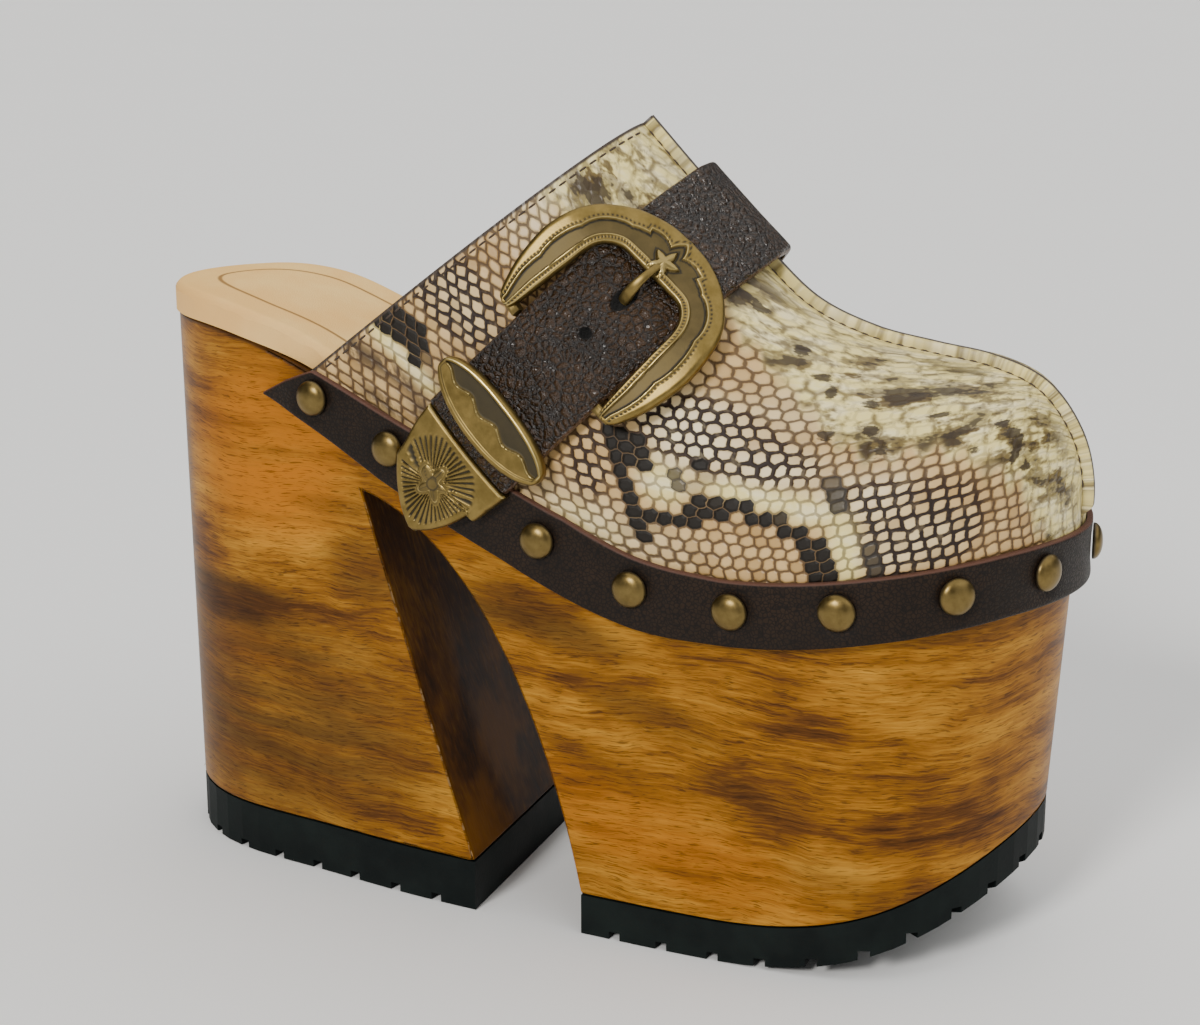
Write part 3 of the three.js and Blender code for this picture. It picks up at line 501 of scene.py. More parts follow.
def notchFinish():
    # the faces inside the notch: the wood painted darker as shade, with straight grain and a painted amber
    # sheen low down
    finish = Finish("ShadedNotchWood", {
        "Coat Weight": 0.12, "Coat Roughness": 0.12, "Coat IOR": 1.4, "Specular IOR Level": 0.05})
    place = finish.place()
    slow = place.noise(30.0, 2.0, 0.5, output=1).moved((-0.5, -0.5, -0.5)).scaled((0.004, 0.004, 0.0))
    warped = place.moved(slow)
    grain = warped.scaled((700.0, 900.0, 40.0)).noise(1.0, 3.0, 0.6)
    cloud = place.noise(34.0, 3.0, 0.6)
    height = place.part(2) * 1000.0
    tone = grain * 0.45 + cloud * 0.55
    color = tone.ramp([(0.36, woodLook["dark"]), (0.50, rgb(0.075, 0.026, 0.003)),
                       (0.66, rgb(0.20, 0.085, 0.008))])
    # painted amber sheen on the lower part of the notch's faces
    paintedSheen = height.step(85.0, 35.0) * cloud.step(0.40, 0.58) * 0.75
    finish.drive("Base Color", paintedSheen.blend(color, rgb(0.20, 0.075, 0.005)))
    finish.drive("Roughness", grain * 0.2 + 0.32)
    finish.drive("Normal", grain.bump(0.0002, 0.3))
    return finish.material


def rubberFinish():
    finish = Finish("BlackRubber", {"Specular IOR Level": 0.12})
    place = finish.place()
    grain = place.noise(900.0, 2.0, 0.6)
    cloud = place.noise(60.0, 3.0, 0.6)
    color = cloud.step(0.3, 0.75).blend(rgb(0.002, 0.004, 0.004), rgb(0.007, 0.011, 0.010))
    finish.drive("Base Color", color)
    finish.drive("Roughness", cloud * 0.3 + 0.45)
    finish.drive("Normal", grain.bump(0.0001, 0.5))
    return finish.material


def insoleFinish():
    # natural leather with a fine grain and one creased line inside the edge, painted dark as shade in its
    # groove
    finish = Finish("InsoleLeather", {"Specular IOR Level": 0.12})
    place = finish.place()
    tone = place.noise(35.0, 4.0, 0.6)
    grain = place.cells(1500.0)
    inset = finish.value("inset")
    line = (inset - 12.0).math("ABSOLUTE")
    crease = line.step(0.9, 0.25)
    base = tone.step(0.3, 0.7).blend(rgb(0.94, 0.56, 0.18), rgb(1.0, 0.67, 0.25))
    color = (inset.step(2.5, 0.0) * 0.35).blend(base, rgb(0.62, 0.34, 0.13))
    # painted shade: the embossed line is painted dark as well as dented
    finish.drive("Base Color", (crease * 0.8).blend(color, rgb(0.22, 0.10, 0.03)))
    finish.drive("Roughness", tone * 0.2 + 0.5)
    finish.drive("Normal", (grain.step(0.0, 0.25) * 0.2 - crease).bump(0.0003, 0.6))
    return finish.material


def leatherFinish(name, low, high, edge, grainScale, roughness, gloss, relief):
    # pebbled leather: cells of two sizes, the creases darkened as painted shade, with a raw edge where raw is
    # 1 and black painted shade where hole is 1; gloss is the specular level and relief the strength of the
    # pebbles
    finish = Finish(name, {"Specular IOR Level": gloss})
    place = finish.place()
    warped = place.moved(place.noise(400.0, 2.0, 0.5, output=1).scaled((0.0007, 0.0007, 0.0007)))
    pebble = warped.cells(grainScale)
    small = warped.cells(grainScale * 2.3)
    tone = place.noise(70.0, 4.0, 0.6)
    crease = pebble.step(0.0, 0.2) * (small.step(0.0, 0.14) * 0.3 + 0.7)
    base = tone.step(0.3, 0.7).blend(low, high)
    raw = finish.value("raw")
    hole = finish.value("hole")
    # painted shade: the creases between the pebbles darken to near black
    color = raw.blend((crease * 0.9 + 0.1).blend(rgb(0.003, 0.0015, 0.001), base), edge)
    # painted shade: where hole is 1 the leather is painted black
    finish.drive("Base Color", hole.step(0.2, 0.45).blend(color, rgb(0.001, 0.0008, 0.0006)))
    finish.drive("Roughness", (tone * 0.2 + roughness - crease * 0.08).upper(hole.step(0.1, 0.4)))
    height = pebble.step(0.0, 0.35) * 0.8 + small.step(0.0, 0.3) * 0.35 + place.noise(160.0, 3.0, 0.6) * 1.2
    finish.drive("Normal", height.bump(0.0016, relief))
    return finish.material


def brassFinish():
    # cast brass: relief is 0 in the hollows and 1 on the worn tops, dark is the blackened share
    finish = Finish("AgedBrass", {"Specular IOR Level": 0.5})
    place = finish.place()
    cloud = place.noise(220.0, 4.0, 0.65)
    pits = place.noise(1800.0, 2.0, 0.6)
    relief = finish.value("relief")
    dark = finish.value("dark")
    tone = cloud.step(0.2, 0.8).blend(rgb(0.17, 0.118, 0.034), rgb(0.29, 0.205, 0.066))
    worn = relief.step(0.55, 1.0).blend(tone, rgb(0.50, 0.39, 0.16))
    finish.drive("Base Color", dark.blend(worn, rgb(0.018, 0.015, 0.007)))
    finish.drive("Metallic", 1.0 - dark * 0.6)
    finish.drive("Roughness", cloud * 0.22 + 0.28 + dark * 0.2 - relief.step(0.55, 1.0) * 0.1)
    finish.drive("Normal", (cloud * 0.6 + pits * 0.4).bump(0.00008, 0.5))
    return finish.material


def studFinish():
    # duller brass for the studs
    finish = Finish("StudBrass", {"Specular IOR Level": 0.5})
    place = finish.place()
    cloud = place.noise(500.0, 3.0, 0.6)
    dark = finish.value("dark")
    tone = cloud.step(0.1, 0.9).blend(rgb(0.13, 0.09, 0.03), rgb(0.22, 0.155, 0.055))
    finish.drive("Base Color", dark.blend(tone, rgb(0.02, 0.015, 0.01)))
    finish.drive("Metallic", 1.0 - dark * 0.6)
    finish.drive("Roughness", cloud * 0.2 + 0.26)
    finish.drive("Normal", cloud.bump(0.00008, 0.5))
    return finish.material


def threadFinish():
    finish = Finish("DarkThread", {"Roughness": 0.75})
    fibre = finish.place().noise(3000.0, 2.0, 0.6)
    finish.drive("Base Color", fibre.blend(rgb(0.02, 0.012, 0.008), rgb(0.09, 0.06, 0.04)))
    finish.drive("Normal", fibre.bump(0.0001, 0.4))
    return finish.material


def liningFinish():
    finish = Finish("Lining", {"Specular IOR Level": 0.3})
    place = finish.place()
    tone = place.noise(60.0, 4.0, 0.6)
    finish.drive("Base Color", tone.step(0.3, 0.7).blend(rgb(0.40, 0.27, 0.16), rgb(0.52, 0.37, 0.23)))
    finish.drive("Roughness", tone * 0.2 + 0.6)
    finish.drive("Normal", place.cells(1300.0).step(0.0, 0.3).bump(0.0002, 0.4))
    return finish.material


# The reptile print of the upper, in millimetres of the flattened leather: length runs along the foot and
# climb up from the feather. Chains are rows of black scales and smudges softer ones. The spots of the
# fields strengthen the lines, whiten the scales, turn them cream, darken them or add short dashes.
snake = {
    "pitch": (3.9, 3.3), "leanMiddle": 25.0, "rowGain": 1.22, "rowLoss": 0.0012,
    "leanLength": [60, 90, 165, 225, 270], "lean": [0.2, 0.24, 0.6, 0.3, 0.2],
    "chains": [
        [(140.8, 33.0), (143.0, 27.5)],
        [(143.6, 33.0), (145.4, 26.2), (147.0, 20.0), (149.7, 11.5)],
        [(147.1, 33.4), (149.3, 27.6)],
        [(149.8, 15.4), (157.9, 16.0), (167.2, 19.3), (174.5, 21.8), (183.0, 18.6), (192.5, 16.0)],
        [(192.5, 15.0), (195.1, 6.2)], [(197.0, 14.0), (198.0, 6.0)],
        [(162.8, 31.7), (163.7, 29.4)], [(166.3, 23.6), (166.9, 21.4)],
        [(77.0, 27.6), (82.0, 31.0), (87.2, 30.0), (87.6, 24.4)], [(78.0, 24.6), (83.0, 26.0)],
        [(80.0, 28.4), (86.0, 27.0)], [(85.0, 22.6), (88.4, 21.4)], [(74.5, 25.4), (78.0, 29.0)],
    ],
    "smudges": [
        [(208.0, 11.6), (209.0, 6.5)], [(195.0, 29.5), (201.4, 22.6)], [(158.6, 26.8), (160.4, 26.0)]],
    "width": 2.0,
}
snakeFields = {
    # columns: length, climb, reach along the length, reach up, strength
    "lines": [(97, 43, 15, 9, 1.0), (162, 39, 20, 9, 0.85), (182, 31, 16, 7, 0.6), (218, 11, 15, 9, 1.0),
              (222, 20, 20, 12, 0.45), (136, 24, 8, 12, 0.55), (206, 20, 9, 7, 0.7), (92, 58, 22, 8, 0.30),
              (150, 8, 25, 5, 0.35), (205, 8, 5, 7, 0.5)],
    "pale": [(140, 10, 22, 7, 0.45), (186, 46, 12, 8, 0.4), (160, 40, 14, 8, 0.9), (182, 31, 12, 5, 0.85),
             (205, 25, 14, 6, 0.6), (217, 12, 14, 7, 0.55), (97, 44, 12, 9, 0.35), (160, 32, 9, 5, 0.6),
             (112, 78, 12, 12, 0.5)],
    "cream": [(155.5, 25, 6.5, 5, 1.1), (172, 25.5, 7, 2.8, 1.0), (183, 23.6, 8, 3.0, 1.0),
              (193.9, 20.8, 7, 3.2, 1.0), (201.5, 14.8, 4.2, 5, 1.0), (203.6, 7.2, 3.4, 6, 0.9),
              (76, 23, 5, 2.6, 0.9), (83, 21.2, 6, 2.4, 0.9), (90, 18.9, 5, 2.4, 0.8), (136, 9, 9, 4, 0.5)],
    "shade": [(70, 14.5, 8, 3.0, 1.0), (82, 15.5, 8, 2.6, 1.0), (91, 11.5, 6, 2.8, 0.9),
              (78, 6.5, 9, 2.4, 0.9), (96, 22, 4, 6, 0.5)],
    "dashes": [(166.0, 76.4, 3.4, 1.3, 1.0), (170.6, 74.4, 2.6, 1.4, 1.0), (182.5, 65.2, 2.0, 2.6, 1.0),
               (189.3, 57.0, 2.6, 1.5, 1.0), (192.4, 52.4, 1.6, 2.6, 1.0), (202.6, 49.0, 2.6, 1.4, 0.9),
               (212.6, 52.2, 2.8, 1.1, 0.9), (220.2, 43.6, 3.0, 1.2, 0.9), (193.7, 39.9, 2.6, 1.6, 1.0),
               (204.4, 40.8, 2.6, 1.8, 0.9), (207.7, 35.0, 2.2, 2.2, 0.8), (224.7, 36.4, 3.0, 1.4, 0.9),
               (237.4, 37.3, 2.4, 1.6, 1.0), (241.4, 34.2, 2.4, 2.0, 1.0), (243.9, 31.0, 1.6, 2.4, 1.0),
               (243.4, 27.4, 1.8, 2.2, 0.9), (247.6, 24.0, 2.2, 1.6, 0.9), (231.0, 31.0, 2.0, 1.4, 0.7)],
    # how far the cream zone reaches down from the seam, by length
    "zoneLength": [100, 130, 163, 176, 188, 194, 206, 220, 232, 240, 250, 262],
    "zoneReach": [40, 34, 24, 30, 37, 43, 48, 42, 39, 34, 30, 28],
}


def flatPlace(length, climb):
    # the leather's plan with its rows of scales made straight: columns lean over the middle of the shoe,
    # and the rows lie closer together near the feather
    lean = np.interp(length, snake["leanLength"], snake["lean"])
    row = climb * (snake["rowGain"] - snake["rowLoss"] * climb)
    return length + lean * (climb - snake["leanMiddle"]), row


def scaleLean(length, climb):
    # how far a column of scales moves along for each step up, in the straightened plan
    lean = np.interp(length, snake["leanLength"], snake["lean"])
    return lean / (snake["rowGain"] - 2.0 * snake["rowLoss"] * climb)


def spots(name, length, climb):
    total = 0.0 * length
    for row in snakeFields[name]:
        away = ((length - row[0]) / row[2]) ** 2 + ((climb - row[1]) / row[3]) ** 2
        total = total + row[4] * np.exp(-(away ** 1.3))
    return np.clip(total, 0.0, 1.0)


def scaleGrid(plan, lean, wide, high):
    # rows of scales: in the two nearest rows the nearest middle is found, with the lean of the columns
    # taken out of the way across; gives the millimetres to the scale's edge and to its middle, the
    # middle's place and two values that differ from scale to scale
    across, upward = plan.part(0), plan.part(1)
    first = (upward * (1.0 / high)).math("FLOOR")
    found = []
    for row in (first, first + 1.0):
        rise = upward - row * high
        level = across - lean * rise
        column = (level * (1.0 / wide)).math("ROUND")
        aside = level - column * wide
        reach = (aside * aside + rise * rise * 1.15).math("SQRT")
        found.append((reach, (0.5 * wide) - aside.math("ABSOLUTE"), column, row))
    nearer = found[0][0].math("LESS_THAN", found[1][0])
    farther = 1.0 - nearer
    side, column, row = (found[0][k] * nearer + found[1][k] * farther for k in (1, 2, 3))
    gap = (found[0][0] - found[1][0]).math("ABSOLUTE") * 0.5
    place = column.make("ShaderNodeCombineXYZ", None, {0: column, 1: row})
    tint = place.make("ShaderNodeTexWhiteNoise", {"noise_dimensions": "2D"}, {"Vector": place}, 1)
    near = found[0][0].lower(found[1][0])
    return side.lower(gap), near, place.scaled((wide, high, 0.0)), tint.part(0), tint.part(1)


def scaleFinish():
    look = {
        "tan": rgb(0.42, 0.25, 0.085), "peach": rgb(0.70, 0.465, 0.20), "white": rgb(0.92, 0.79, 0.48),
        "cream": rgb(0.88, 0.73, 0.28), "olive": rgb(0.10, 0.060, 0.012), "brown": rgb(0.045, 0.020, 0.006),
        "black": rgb(0.009, 0.006, 0.003), "gray": rgb(0.06, 0.042, 0.026),
    }
    finish = Finish("ScalePrint", {"Specular IOR Level": 0.3})
    plan = finish.place("UV")
    lines, pale, cream, shade, dashes = (
        finish.value(name) for name in ("lines", "pale", "cream", "shade", "dashes"))
    across, collar, lean, ridge = (finish.value(name) for name in ("across", "collar", "lean", "ridge"))
    warp = plan.noise(0.09, 2.0, 0.5, output=1).moved((-0.5, -0.5, 0.0)).scaled((3.6, 3.0, 0.0))
    small = plan.noise(0.6, 2.0, 0.5, output=1).moved((-0.5, -0.5, 0.0)).scaled((0.7, 0.7, 0.0))
    lattice = plan.moved(warp).moved(small)
    wide, high = snake["pitch"]
    edge, near, middle, tone, tone2 = scaleGrid(lattice, lean, wide, high)
    thin = edge.step(0.56, 0.22).upper(near.step(1.85, 2.2))
    thick = edge.step(0.74, 0.40).upper(near.step(1.72, 2.02))
    strength = lines * (1.0 - cream * 0.9)
    lineMask = (thin * (lines * 0.20 + 0.80)).upper(thick * strength.step(0.10, 0.45))
    lineMask = lineMask * (1.0 - cream * 0.3 - ridge * 0.42)
    worn = plan.noise(0.22, 3.0, 0.6)
    lineMask = lineMask * (worn.step(0.25, 0.5) * 0.2 + 0.8)
    base = tone.blend(look["tan"], look["peach"])
    base = (tone2.step(0.2, 0.9) * 0.5 + 0.1).blend(base, look["peach"])
    # painted shade: each scale darkens towards its edge, to look rounded
    base = (near.step(0.9, 2.1) * 0.5).blend(base, rgb(0.22, 0.11, 0.03))
    base = (pale * (tone * 0.4 + 0.6)).blend(base, look["white"])
    cloud = plan.scaled((1.0, 2.0, 0.0)).noise(0.11, 3.0, 0.6)
    creamTone = cloud.step(0.42, 0.66).blend(look["cream"], rgb(0.92, 0.80, 0.44))
    base = cream.blend(base, creamTone)
    broad, farther, _, patch, _ = scaleGrid(
        lattice.moved((1.7, 2.2, 0.0)), lean, 1.55 * wide, 1.65 * high)
    mottle = plan.scaled((1.0, 0.7, 0.0)).noise(0.20, 4.0, 0.7)
    net = broad.step(1.2, 0.1).upper(farther.step(2.5, 3.4)) * mottle.step(0.38, 0.58)
    large = plan.scaled((1.0, 1.4, 0.0)).noise(0.075, 4.0, 0.62)
    blotch = large.step(0.465, 0.54) * (patch * 0.4 + 0.6) * (across.step(3.0, 12.0) * 0.7 + 0.3)
    veil = (net * 0.8).upper(blotch * 0.95) * ridge.step(0.2, 0.9)
    base = veil.blend(base, look["olive"])
    core = large.step(0.55, 0.60) * ridge * across.step(4.0, 14.0) * 0.85
    base = core.blend(base, rgb(0.035, 0.022, 0.010))
    base = (shade * mottle.step(0.3, 0.5) * 0.9).blend(base, look["gray"])
    lineColor = lines.step(0.2, 0.8).blend(look["brown"], rgb(0.022, 0.012, 0.008))
    color = lineMask.blend(base, lineColor)
    rough = plan.scaled((0.6, 1.2, 0.0)).noise(0.55, 3.0, 0.65)
    dash = (dashes + rough * 1.5 - 0.75).step(0.34, 0.62)
    color = (dash * 0.92).blend(color, rgb(0.035, 0.022, 0.010))
    nearest = {}
    for name in ("chains", "smudges"):
        for row in snake[name]:
            for start, end in zip(row[:-1], row[1:]):
                away = middle.fromSegment(flatPlace(*start), flatPlace(*end))
                nearest[name] = nearest[name].lower(away) if name in nearest else away
    chain = nearest["chains"].step(snake["width"] + 0.5, snake["width"] - 0.1) * edge.step(0.02, 0.22)
    color = chain.blend(color, look["black"])
    smudge = nearest["smudges"].step(snake["width"] + 0.4, snake["width"] - 0.2) * (tone * 0.15 + 0.82)
    color = smudge.blend(color, rgb(0.03, 0.024, 0.018))
    rim = collar.step(1.1, 0.5)
    color = rim.blend(color, rgb(0.05, 0.035, 0.025))
    seam = across.step(-0.05, -0.2)
    color = (seam * across.step(-0.35, -0.6)).blend(color, rgb(0.07, 0.055, 0.045))
    # painted shade in the crease at the foot of the seam's fin
    grooveShade = (across - 0.55).math("ABSOLUTE").step(0.55, 0.15) * 0.75
    color = grooveShade.blend(color, rgb(0.06, 0.035, 0.015))
    finish.drive("Base Color", color)
    finish.drive("Roughness", (lineMask.upper(chain) * 0.2 + 0.32) + rough * 0.08)
    height = edge.step(0.0, 0.9) * (1.0 - cream * 0.5) + rough * 0.25
    finish.drive("Normal", height.bump(0.0004, 0.6))
    return finish.material


wood = woodFinish()
shadedNotchWood = notchFinish()
rubber = rubberFinish()
insoleLeather = insoleFinish()
printLeather = scaleFinish()
bandLeather = leatherFinish("BandLeather", rgb(0.012, 0.006, 0.0022), rgb(0.024, 0.012, 0.005),
                            rgb(0.10, 0.045, 0.030), 950.0, 0.46, 0.2, 0.15)
strapLeather = leatherFinish("StrapLeather", rgb(0.020, 0.009, 0.003), rgb(0.052, 0.024, 0.008),
                             rgb(0.10, 0.05, 0.025), 470.0, 0.27, 0.55, 0.62)
brass = brassFinish()
studBrass = studFinish()
thread = threadFinish()
lining = liningFinish()
print("materials made")


# Wooden block

def notchTop(x):
    # a Bezier curve from the platform's rear foot up to the apex
    t = np.linspace(0.0, 1.0, 600)
    reach, rise = rearX - apexX, apexZ - block["frontTread"]
    xs = [rearX] + [apexX + share * reach for share in block["curveLengths"]] + [apexX]
    heights = [block["frontTread"] + share * rise for share in block["curveHeights"]]
    zs = [block["frontTread"]] + heights + [apexZ]
    weights = [(1 - t) ** 3, 3 * t * (1 - t) ** 2, 3 * t * t * (1 - t), t**3]
    curveX = sum(w * v for w, v in zip(weights, xs))
    curveZ = sum(w * v for w, v in zip(weights, zs))
    return np.interp(x, curveX[::-1], curveZ[::-1])


def breastHeight(x):
    return np.interp(x, [apexX, breastX], [apexZ, block["heelTread"]])


def treadTop(x):
    return groundHeight(x) + np.where(x < 0.5 * (breastX + rearX), block["heelTread"], block["frontTread"])


def sideShares(side):
    # shares along one side, with columns just where the notch starts and ends
    share = np.linspace(0.1, 0.9, 3001)
    x = sidePoint(share, side)[2]
    stops = [0.0] + [float(np.interp(stop, x, share)) for stop in (apexX, breastX, rearX)] + [1.0]
    parts = [np.linspace(a, b, n + 1)[:-1] for a, b, n in zip(stops[:-1], stops[1:], block["columns"])]
    return np.concatenate(parts + [np.array([1.0])])


def makeBlock():
    # the sides are ruled between the tread's outline and the top edge, with the notch left open; ribs
    # of the notch, the top and the bottoms run straight across from side to side
    outer, inner = sideShares(-1), sideShares(1)
    counts = np.cumsum([0] + block["columns"])
    apex, breast, rear, toe = counts[1:]
    wallPoints, wallFaces, start = [], [], 0

    def wall(shares, side, low, high, rows):
        nonlocal start
        turn = 0.5 * shares if side < 0 else 1.0 - 0.5 * shares
        base = planPoint(turn)[2]
        bottom, top = treadTop(base), seatHeight(base)
        z = lerp(low(base), high(base), np.linspace(0.0, 1.0, rows)[:, None])
        height = (z - bottom) / (top - bottom)
        x, y = planPoint(np.broadcast_to(turn, z.shape), -draft(base) * (1.0 - height))[:2]
        wallPoints.append(np.stack([x, y, z], -1).reshape(-1, 3))
        faces = gridFaces(rows, len(shares), start)
        wallFaces.append(faces if side < 0 else faces[:, ::-1])
        start += rows * len(shares)

    def span(first, final, height, flip):
        nonlocal start
        ends = []
        for shares, side in ((outer, -1), (inner, 1)):
            turn = 0.5 * shares[first:final + 1] if side < 0 else 1.0 - 0.5 * shares[first:final + 1]
            base = planPoint(turn)[2]
            z = height(base)
            share = (z - treadTop(base)) / (seatHeight(base) - treadTop(base))
            x, y = planPoint(turn, -draft(base) * (1.0 - share))[:2]
            ends.append(np.stack([x, y, z], -1))
        share = np.linspace(0.0, 1.0, block["across"] + 1)[None, :, None]
        points = lerp(ends[0][:, None, :], ends[1][:, None, :], share)
        wallPoints.append(points.reshape(-1, 3))
        faces = gridFaces(final - first + 1, block["across"] + 1, start)
        wallFaces.append(faces[:, ::-1] if flip else faces)
        start += points.shape[0] * points.shape[1]

    def middle(x):
        return np.where(x <= apexX + 1e-6, apexZ, np.where(x < rearX - 1e-6, notchTop(x), treadTop(x)))

    for shares, side in ((outer, -1), (inner, 1)):
        wall(shares, side, middle, seatHeight, block["rows"])
        wall(shares[:breast + 1], side, treadTop,
             lambda x: np.where(x <= apexX + 1e-6, apexZ, breastHeight(x)), 2 * block["rows"])
    span(0, toe, seatHeight, False)
    span(0, breast, treadTop, True)
    span(rear, toe, treadTop, True)
    span(apex, breast, breastHeight, False)
    span(apex, rear, middle, True)
    points = np.concatenate(wallPoints)
    fromTop = seatHeight(points[:, 0]) - points[:, 2]
    piece = makePiece("woodenBlock", points, np.concatenate(wallFaces), [wood, shadedNotchWood],
                      "varnished_wood", ["sole_block"], values={"fromTop": fromTop}, merge=True, angle=30.0)
    # faces that look along the shoe between the heel's and the platform's feet are the notch's
    polygons = piece.data.polygons
    normals, centres = np.empty(3 * len(polygons)), np.empty(3 * len(polygons))
    polygons.foreach_get("normal", normals)
    polygons.foreach_get("center", centres)
    length = centres[0::3] / mm - shift[0]
    inside = (np.abs(normals[1::3]) < 0.5) & (length > apexX - 1.0) & (length < rearX + 1.0)
    inside = inside & (normals[2::3] < 0.9) & (centres[2::3] / mm < apexZ + 1.0)
    # the notch's faces take the darker copy of the wood, which is painted shade
    polygons.foreach_set("material_index", inside.astype(np.int32))
    addBevel(piece, block["arris"])


makeBlock()
print("block made")


# Upper

upper = {
    "rows": 205, "arch": 108, "seamHeight": 2.6, "seamColumns": 13, "fadeStart": 0.94, "fadeEnd": 0.968,
    "crowding": 1.35,
}


def flatten(points):
    # length walked along the foot's plan, and height climbed from the feather in planes across the shoe
    places = np.linspace(points[..., 0].min(), points[..., 0].max(), 400)
    cross = np.stack([np.stack([
        np.interp(places, points[:, j, 0], points[:, j, k], left=np.nan) for k in (1, 2)], -1)
        for j in range(2, points.shape[1])], 1)
    steps = np.nan_to_num(np.linalg.norm(np.diff(cross, axis=1), axis=-1))
    climbed = np.concatenate([np.zeros((len(places), 1)), np.cumsum(steps, 1)], 1)
    climb = np.stack([
        np.interp(points[:, j + 2, 0], places, climbed[:, j]) for j in range(climbed.shape[1])], 1)
    climb = np.concatenate([np.full((len(points), 1), -9.5), np.full((len(points), 1), -4.8), climb], 1)
    foot = points[:, 2]
    walked = np.concatenate([[0.0], np.cumsum(np.linalg.norm(np.diff(foot[:, :2], axis=0), axis=-1))])
    return np.interp(points[..., 0], foot[:, 0], walked + foot[0, 0]), climb


def makeUpper():
    # two layers of the skin, a wall apart, with the pinched seam standing on the outer one
    rows = 1.0 - (1.0 - np.linspace(0.0, 1.0, upper["rows"] + 1)) ** upper["crowding"]
    arch = np.linspace(0.0, 1.0, upper["arch"] + 1)
    turns = np.concatenate([[-1.0, -0.5], arch])
    section, turn = np.meshgrid(rows, turns, indexing="ij")
    outerSide = skin(section, turn)
    innerSide = skin(section, np.maximum(2.0 - turn, 1.0 + 1e-9))
    outerUnder = skin(section, turn, last["wall"])
    innerUnder = skin(section, np.maximum(2.0 - turn, 1.0 + 1e-9), last["wall"])
    left, right = outerSide[:, -1], innerSide[:, -1]
    _, _, normalX, normalZ = ridgePoint(rows)
    fade = 1.0 - smooth((rows - upper["fadeStart"]) / (upper["fadeEnd"] - upper["fadeStart"]))
    share = np.linspace(0.0, 1.0, upper["seamColumns"])
    profile = np.sqrt(np.maximum(1.0 - np.abs(2 * share - 1) ** 6, 0.0))
    profile = profile * (1 - 0.16 * np.exp(-((share - 0.5) / 0.06) ** 2))
    rise = upper["seamHeight"] * fade[:, None] * profile
    fin = lerp(left[:, None], right[:, None], share[None, :, None])
    fin = fin + np.stack([normalX[:, None] * rise, 0 * rise, normalZ[:, None] * rise], -1)
    finUnder = lerp(outerUnder[:, -1][:, None], innerUnder[:, -1][:, None], share[None, :, None])
    top = np.concatenate([outerSide[:, :-1], fin, innerSide[:, -2::-1]], 1)
    under = np.concatenate([outerUnder[:, :-1], finUnder, innerUnder[:, -2::-1]], 1)
    length = np.linalg.norm(np.diff(outerSide[:, -1], axis=0), axis=-1)
    forward = np.concatenate([[0.0], np.cumsum(length)])
    fromSeam = []
    for points in (outerSide, innerSide):
        steps = np.linalg.norm(np.diff(points[:, ::-1], axis=1), axis=-1)
        fromSeam.append(np.concatenate([np.zeros((len(points), 1)), np.cumsum(steps, 1)], 1)[:, ::-1])
    finAcross = np.broadcast_to(np.abs(2 * share - 1)[None] - 1.0, fin.shape[:2])
    across = np.concatenate([fromSeam[0][:, :-1], finAcross, fromSeam[1][:, -2::-1]], 1)
    lengths = []
    for points in (outerSide, innerSide):
        steps = np.linalg.norm(np.diff(points, axis=0), axis=-1)
        lengths.append(np.concatenate([np.zeros((1, points.shape[1])), np.cumsum(steps, 0)], 0))
    finLength = np.broadcast_to(forward[:, None], fin.shape[:2])
    collar = np.concatenate([lengths[0][:, :-1], finLength, lengths[1][:, -2::-1]], 1)
    lengthOuter, climbOuter = flatten(outerSide)
    lengthInner, climbInner = flatten(innerSide)
    finParts = []
    for first, second in ((lengthOuter, lengthInner), (climbOuter, climbInner)):
        finParts.append(np.concatenate([
            first[:, :-1], np.where(share[None] < 0.5, first[:, -1:], second[:, -1:]), second[:, -2::-1]], 1))
    length, climb = finParts
    uv = np.stack(flatPlace(length, climb), -1)
    fields = {name: spots(name, length, climb) for name in ("lines", "pale", "cream", "shade", "dashes")}
    zone = np.interp(length, snakeFields["zoneLength"], snakeFields["zoneReach"])
    zone = smooth((zone + 2.0 * np.sin(0.9 * length) * np.sin(0.23 * climb) - across) / 7.0 + 0.5)
    fields["cream"] = np.maximum(fields["cream"], zone)
    fields.update({"across": across, "collar": collar, "lean": scaleLean(length, climb), "ridge": zone})
    shape = top.shape[:2]
    points = np.concatenate([top.reshape(-1, 3), under.reshape(-1, 3)])
    faces = slabFaces(shape[0], shape[1], True)
    quads = (shape[0] - 1) * (shape[1] - 1)
    inner = np.zeros(len(faces), int)
    inner[quads:2 * quads] = 1
    makePiece("scaleUpper", points, faces, [printLeather, lining], "printed_leather", ["upper"],
              uv=np.concatenate([uv.reshape(-1, 2)] * 2),
              values={name: np.concatenate([field.ravel()] * 2) for name, field in fields.items()},
              inner=inner, merge=True, angle=50.0)


makeUpper()
print("upper made")


# Rubber treads and billet keep their own shapes and take the finishes made here

for nodeName, finishMade in (("heel_tread", rubber), ("front_tread", rubber), ("billet", strapLeather)):
    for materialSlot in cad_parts[nodeName].material_slots:
        materialSlot.material = finishMade


# Insole

insole = {
    "heelThickness": 7.6, "toeThickness": 4.0, "overhang": 0.8, "round": 2.6, "tuck": 1.8,
    "tuckStart": 0.13, "tuckEnd": 0.22, "rows": 150, "across": 90,
}


def insoleTuck(x):
    share = smooth((x / last["soleLength"] - insole["tuckStart"]) / (insole["tuckEnd"] - insole["tuckStart"]))
    return lerp(insole["overhang"], -insole["tuck"], share)


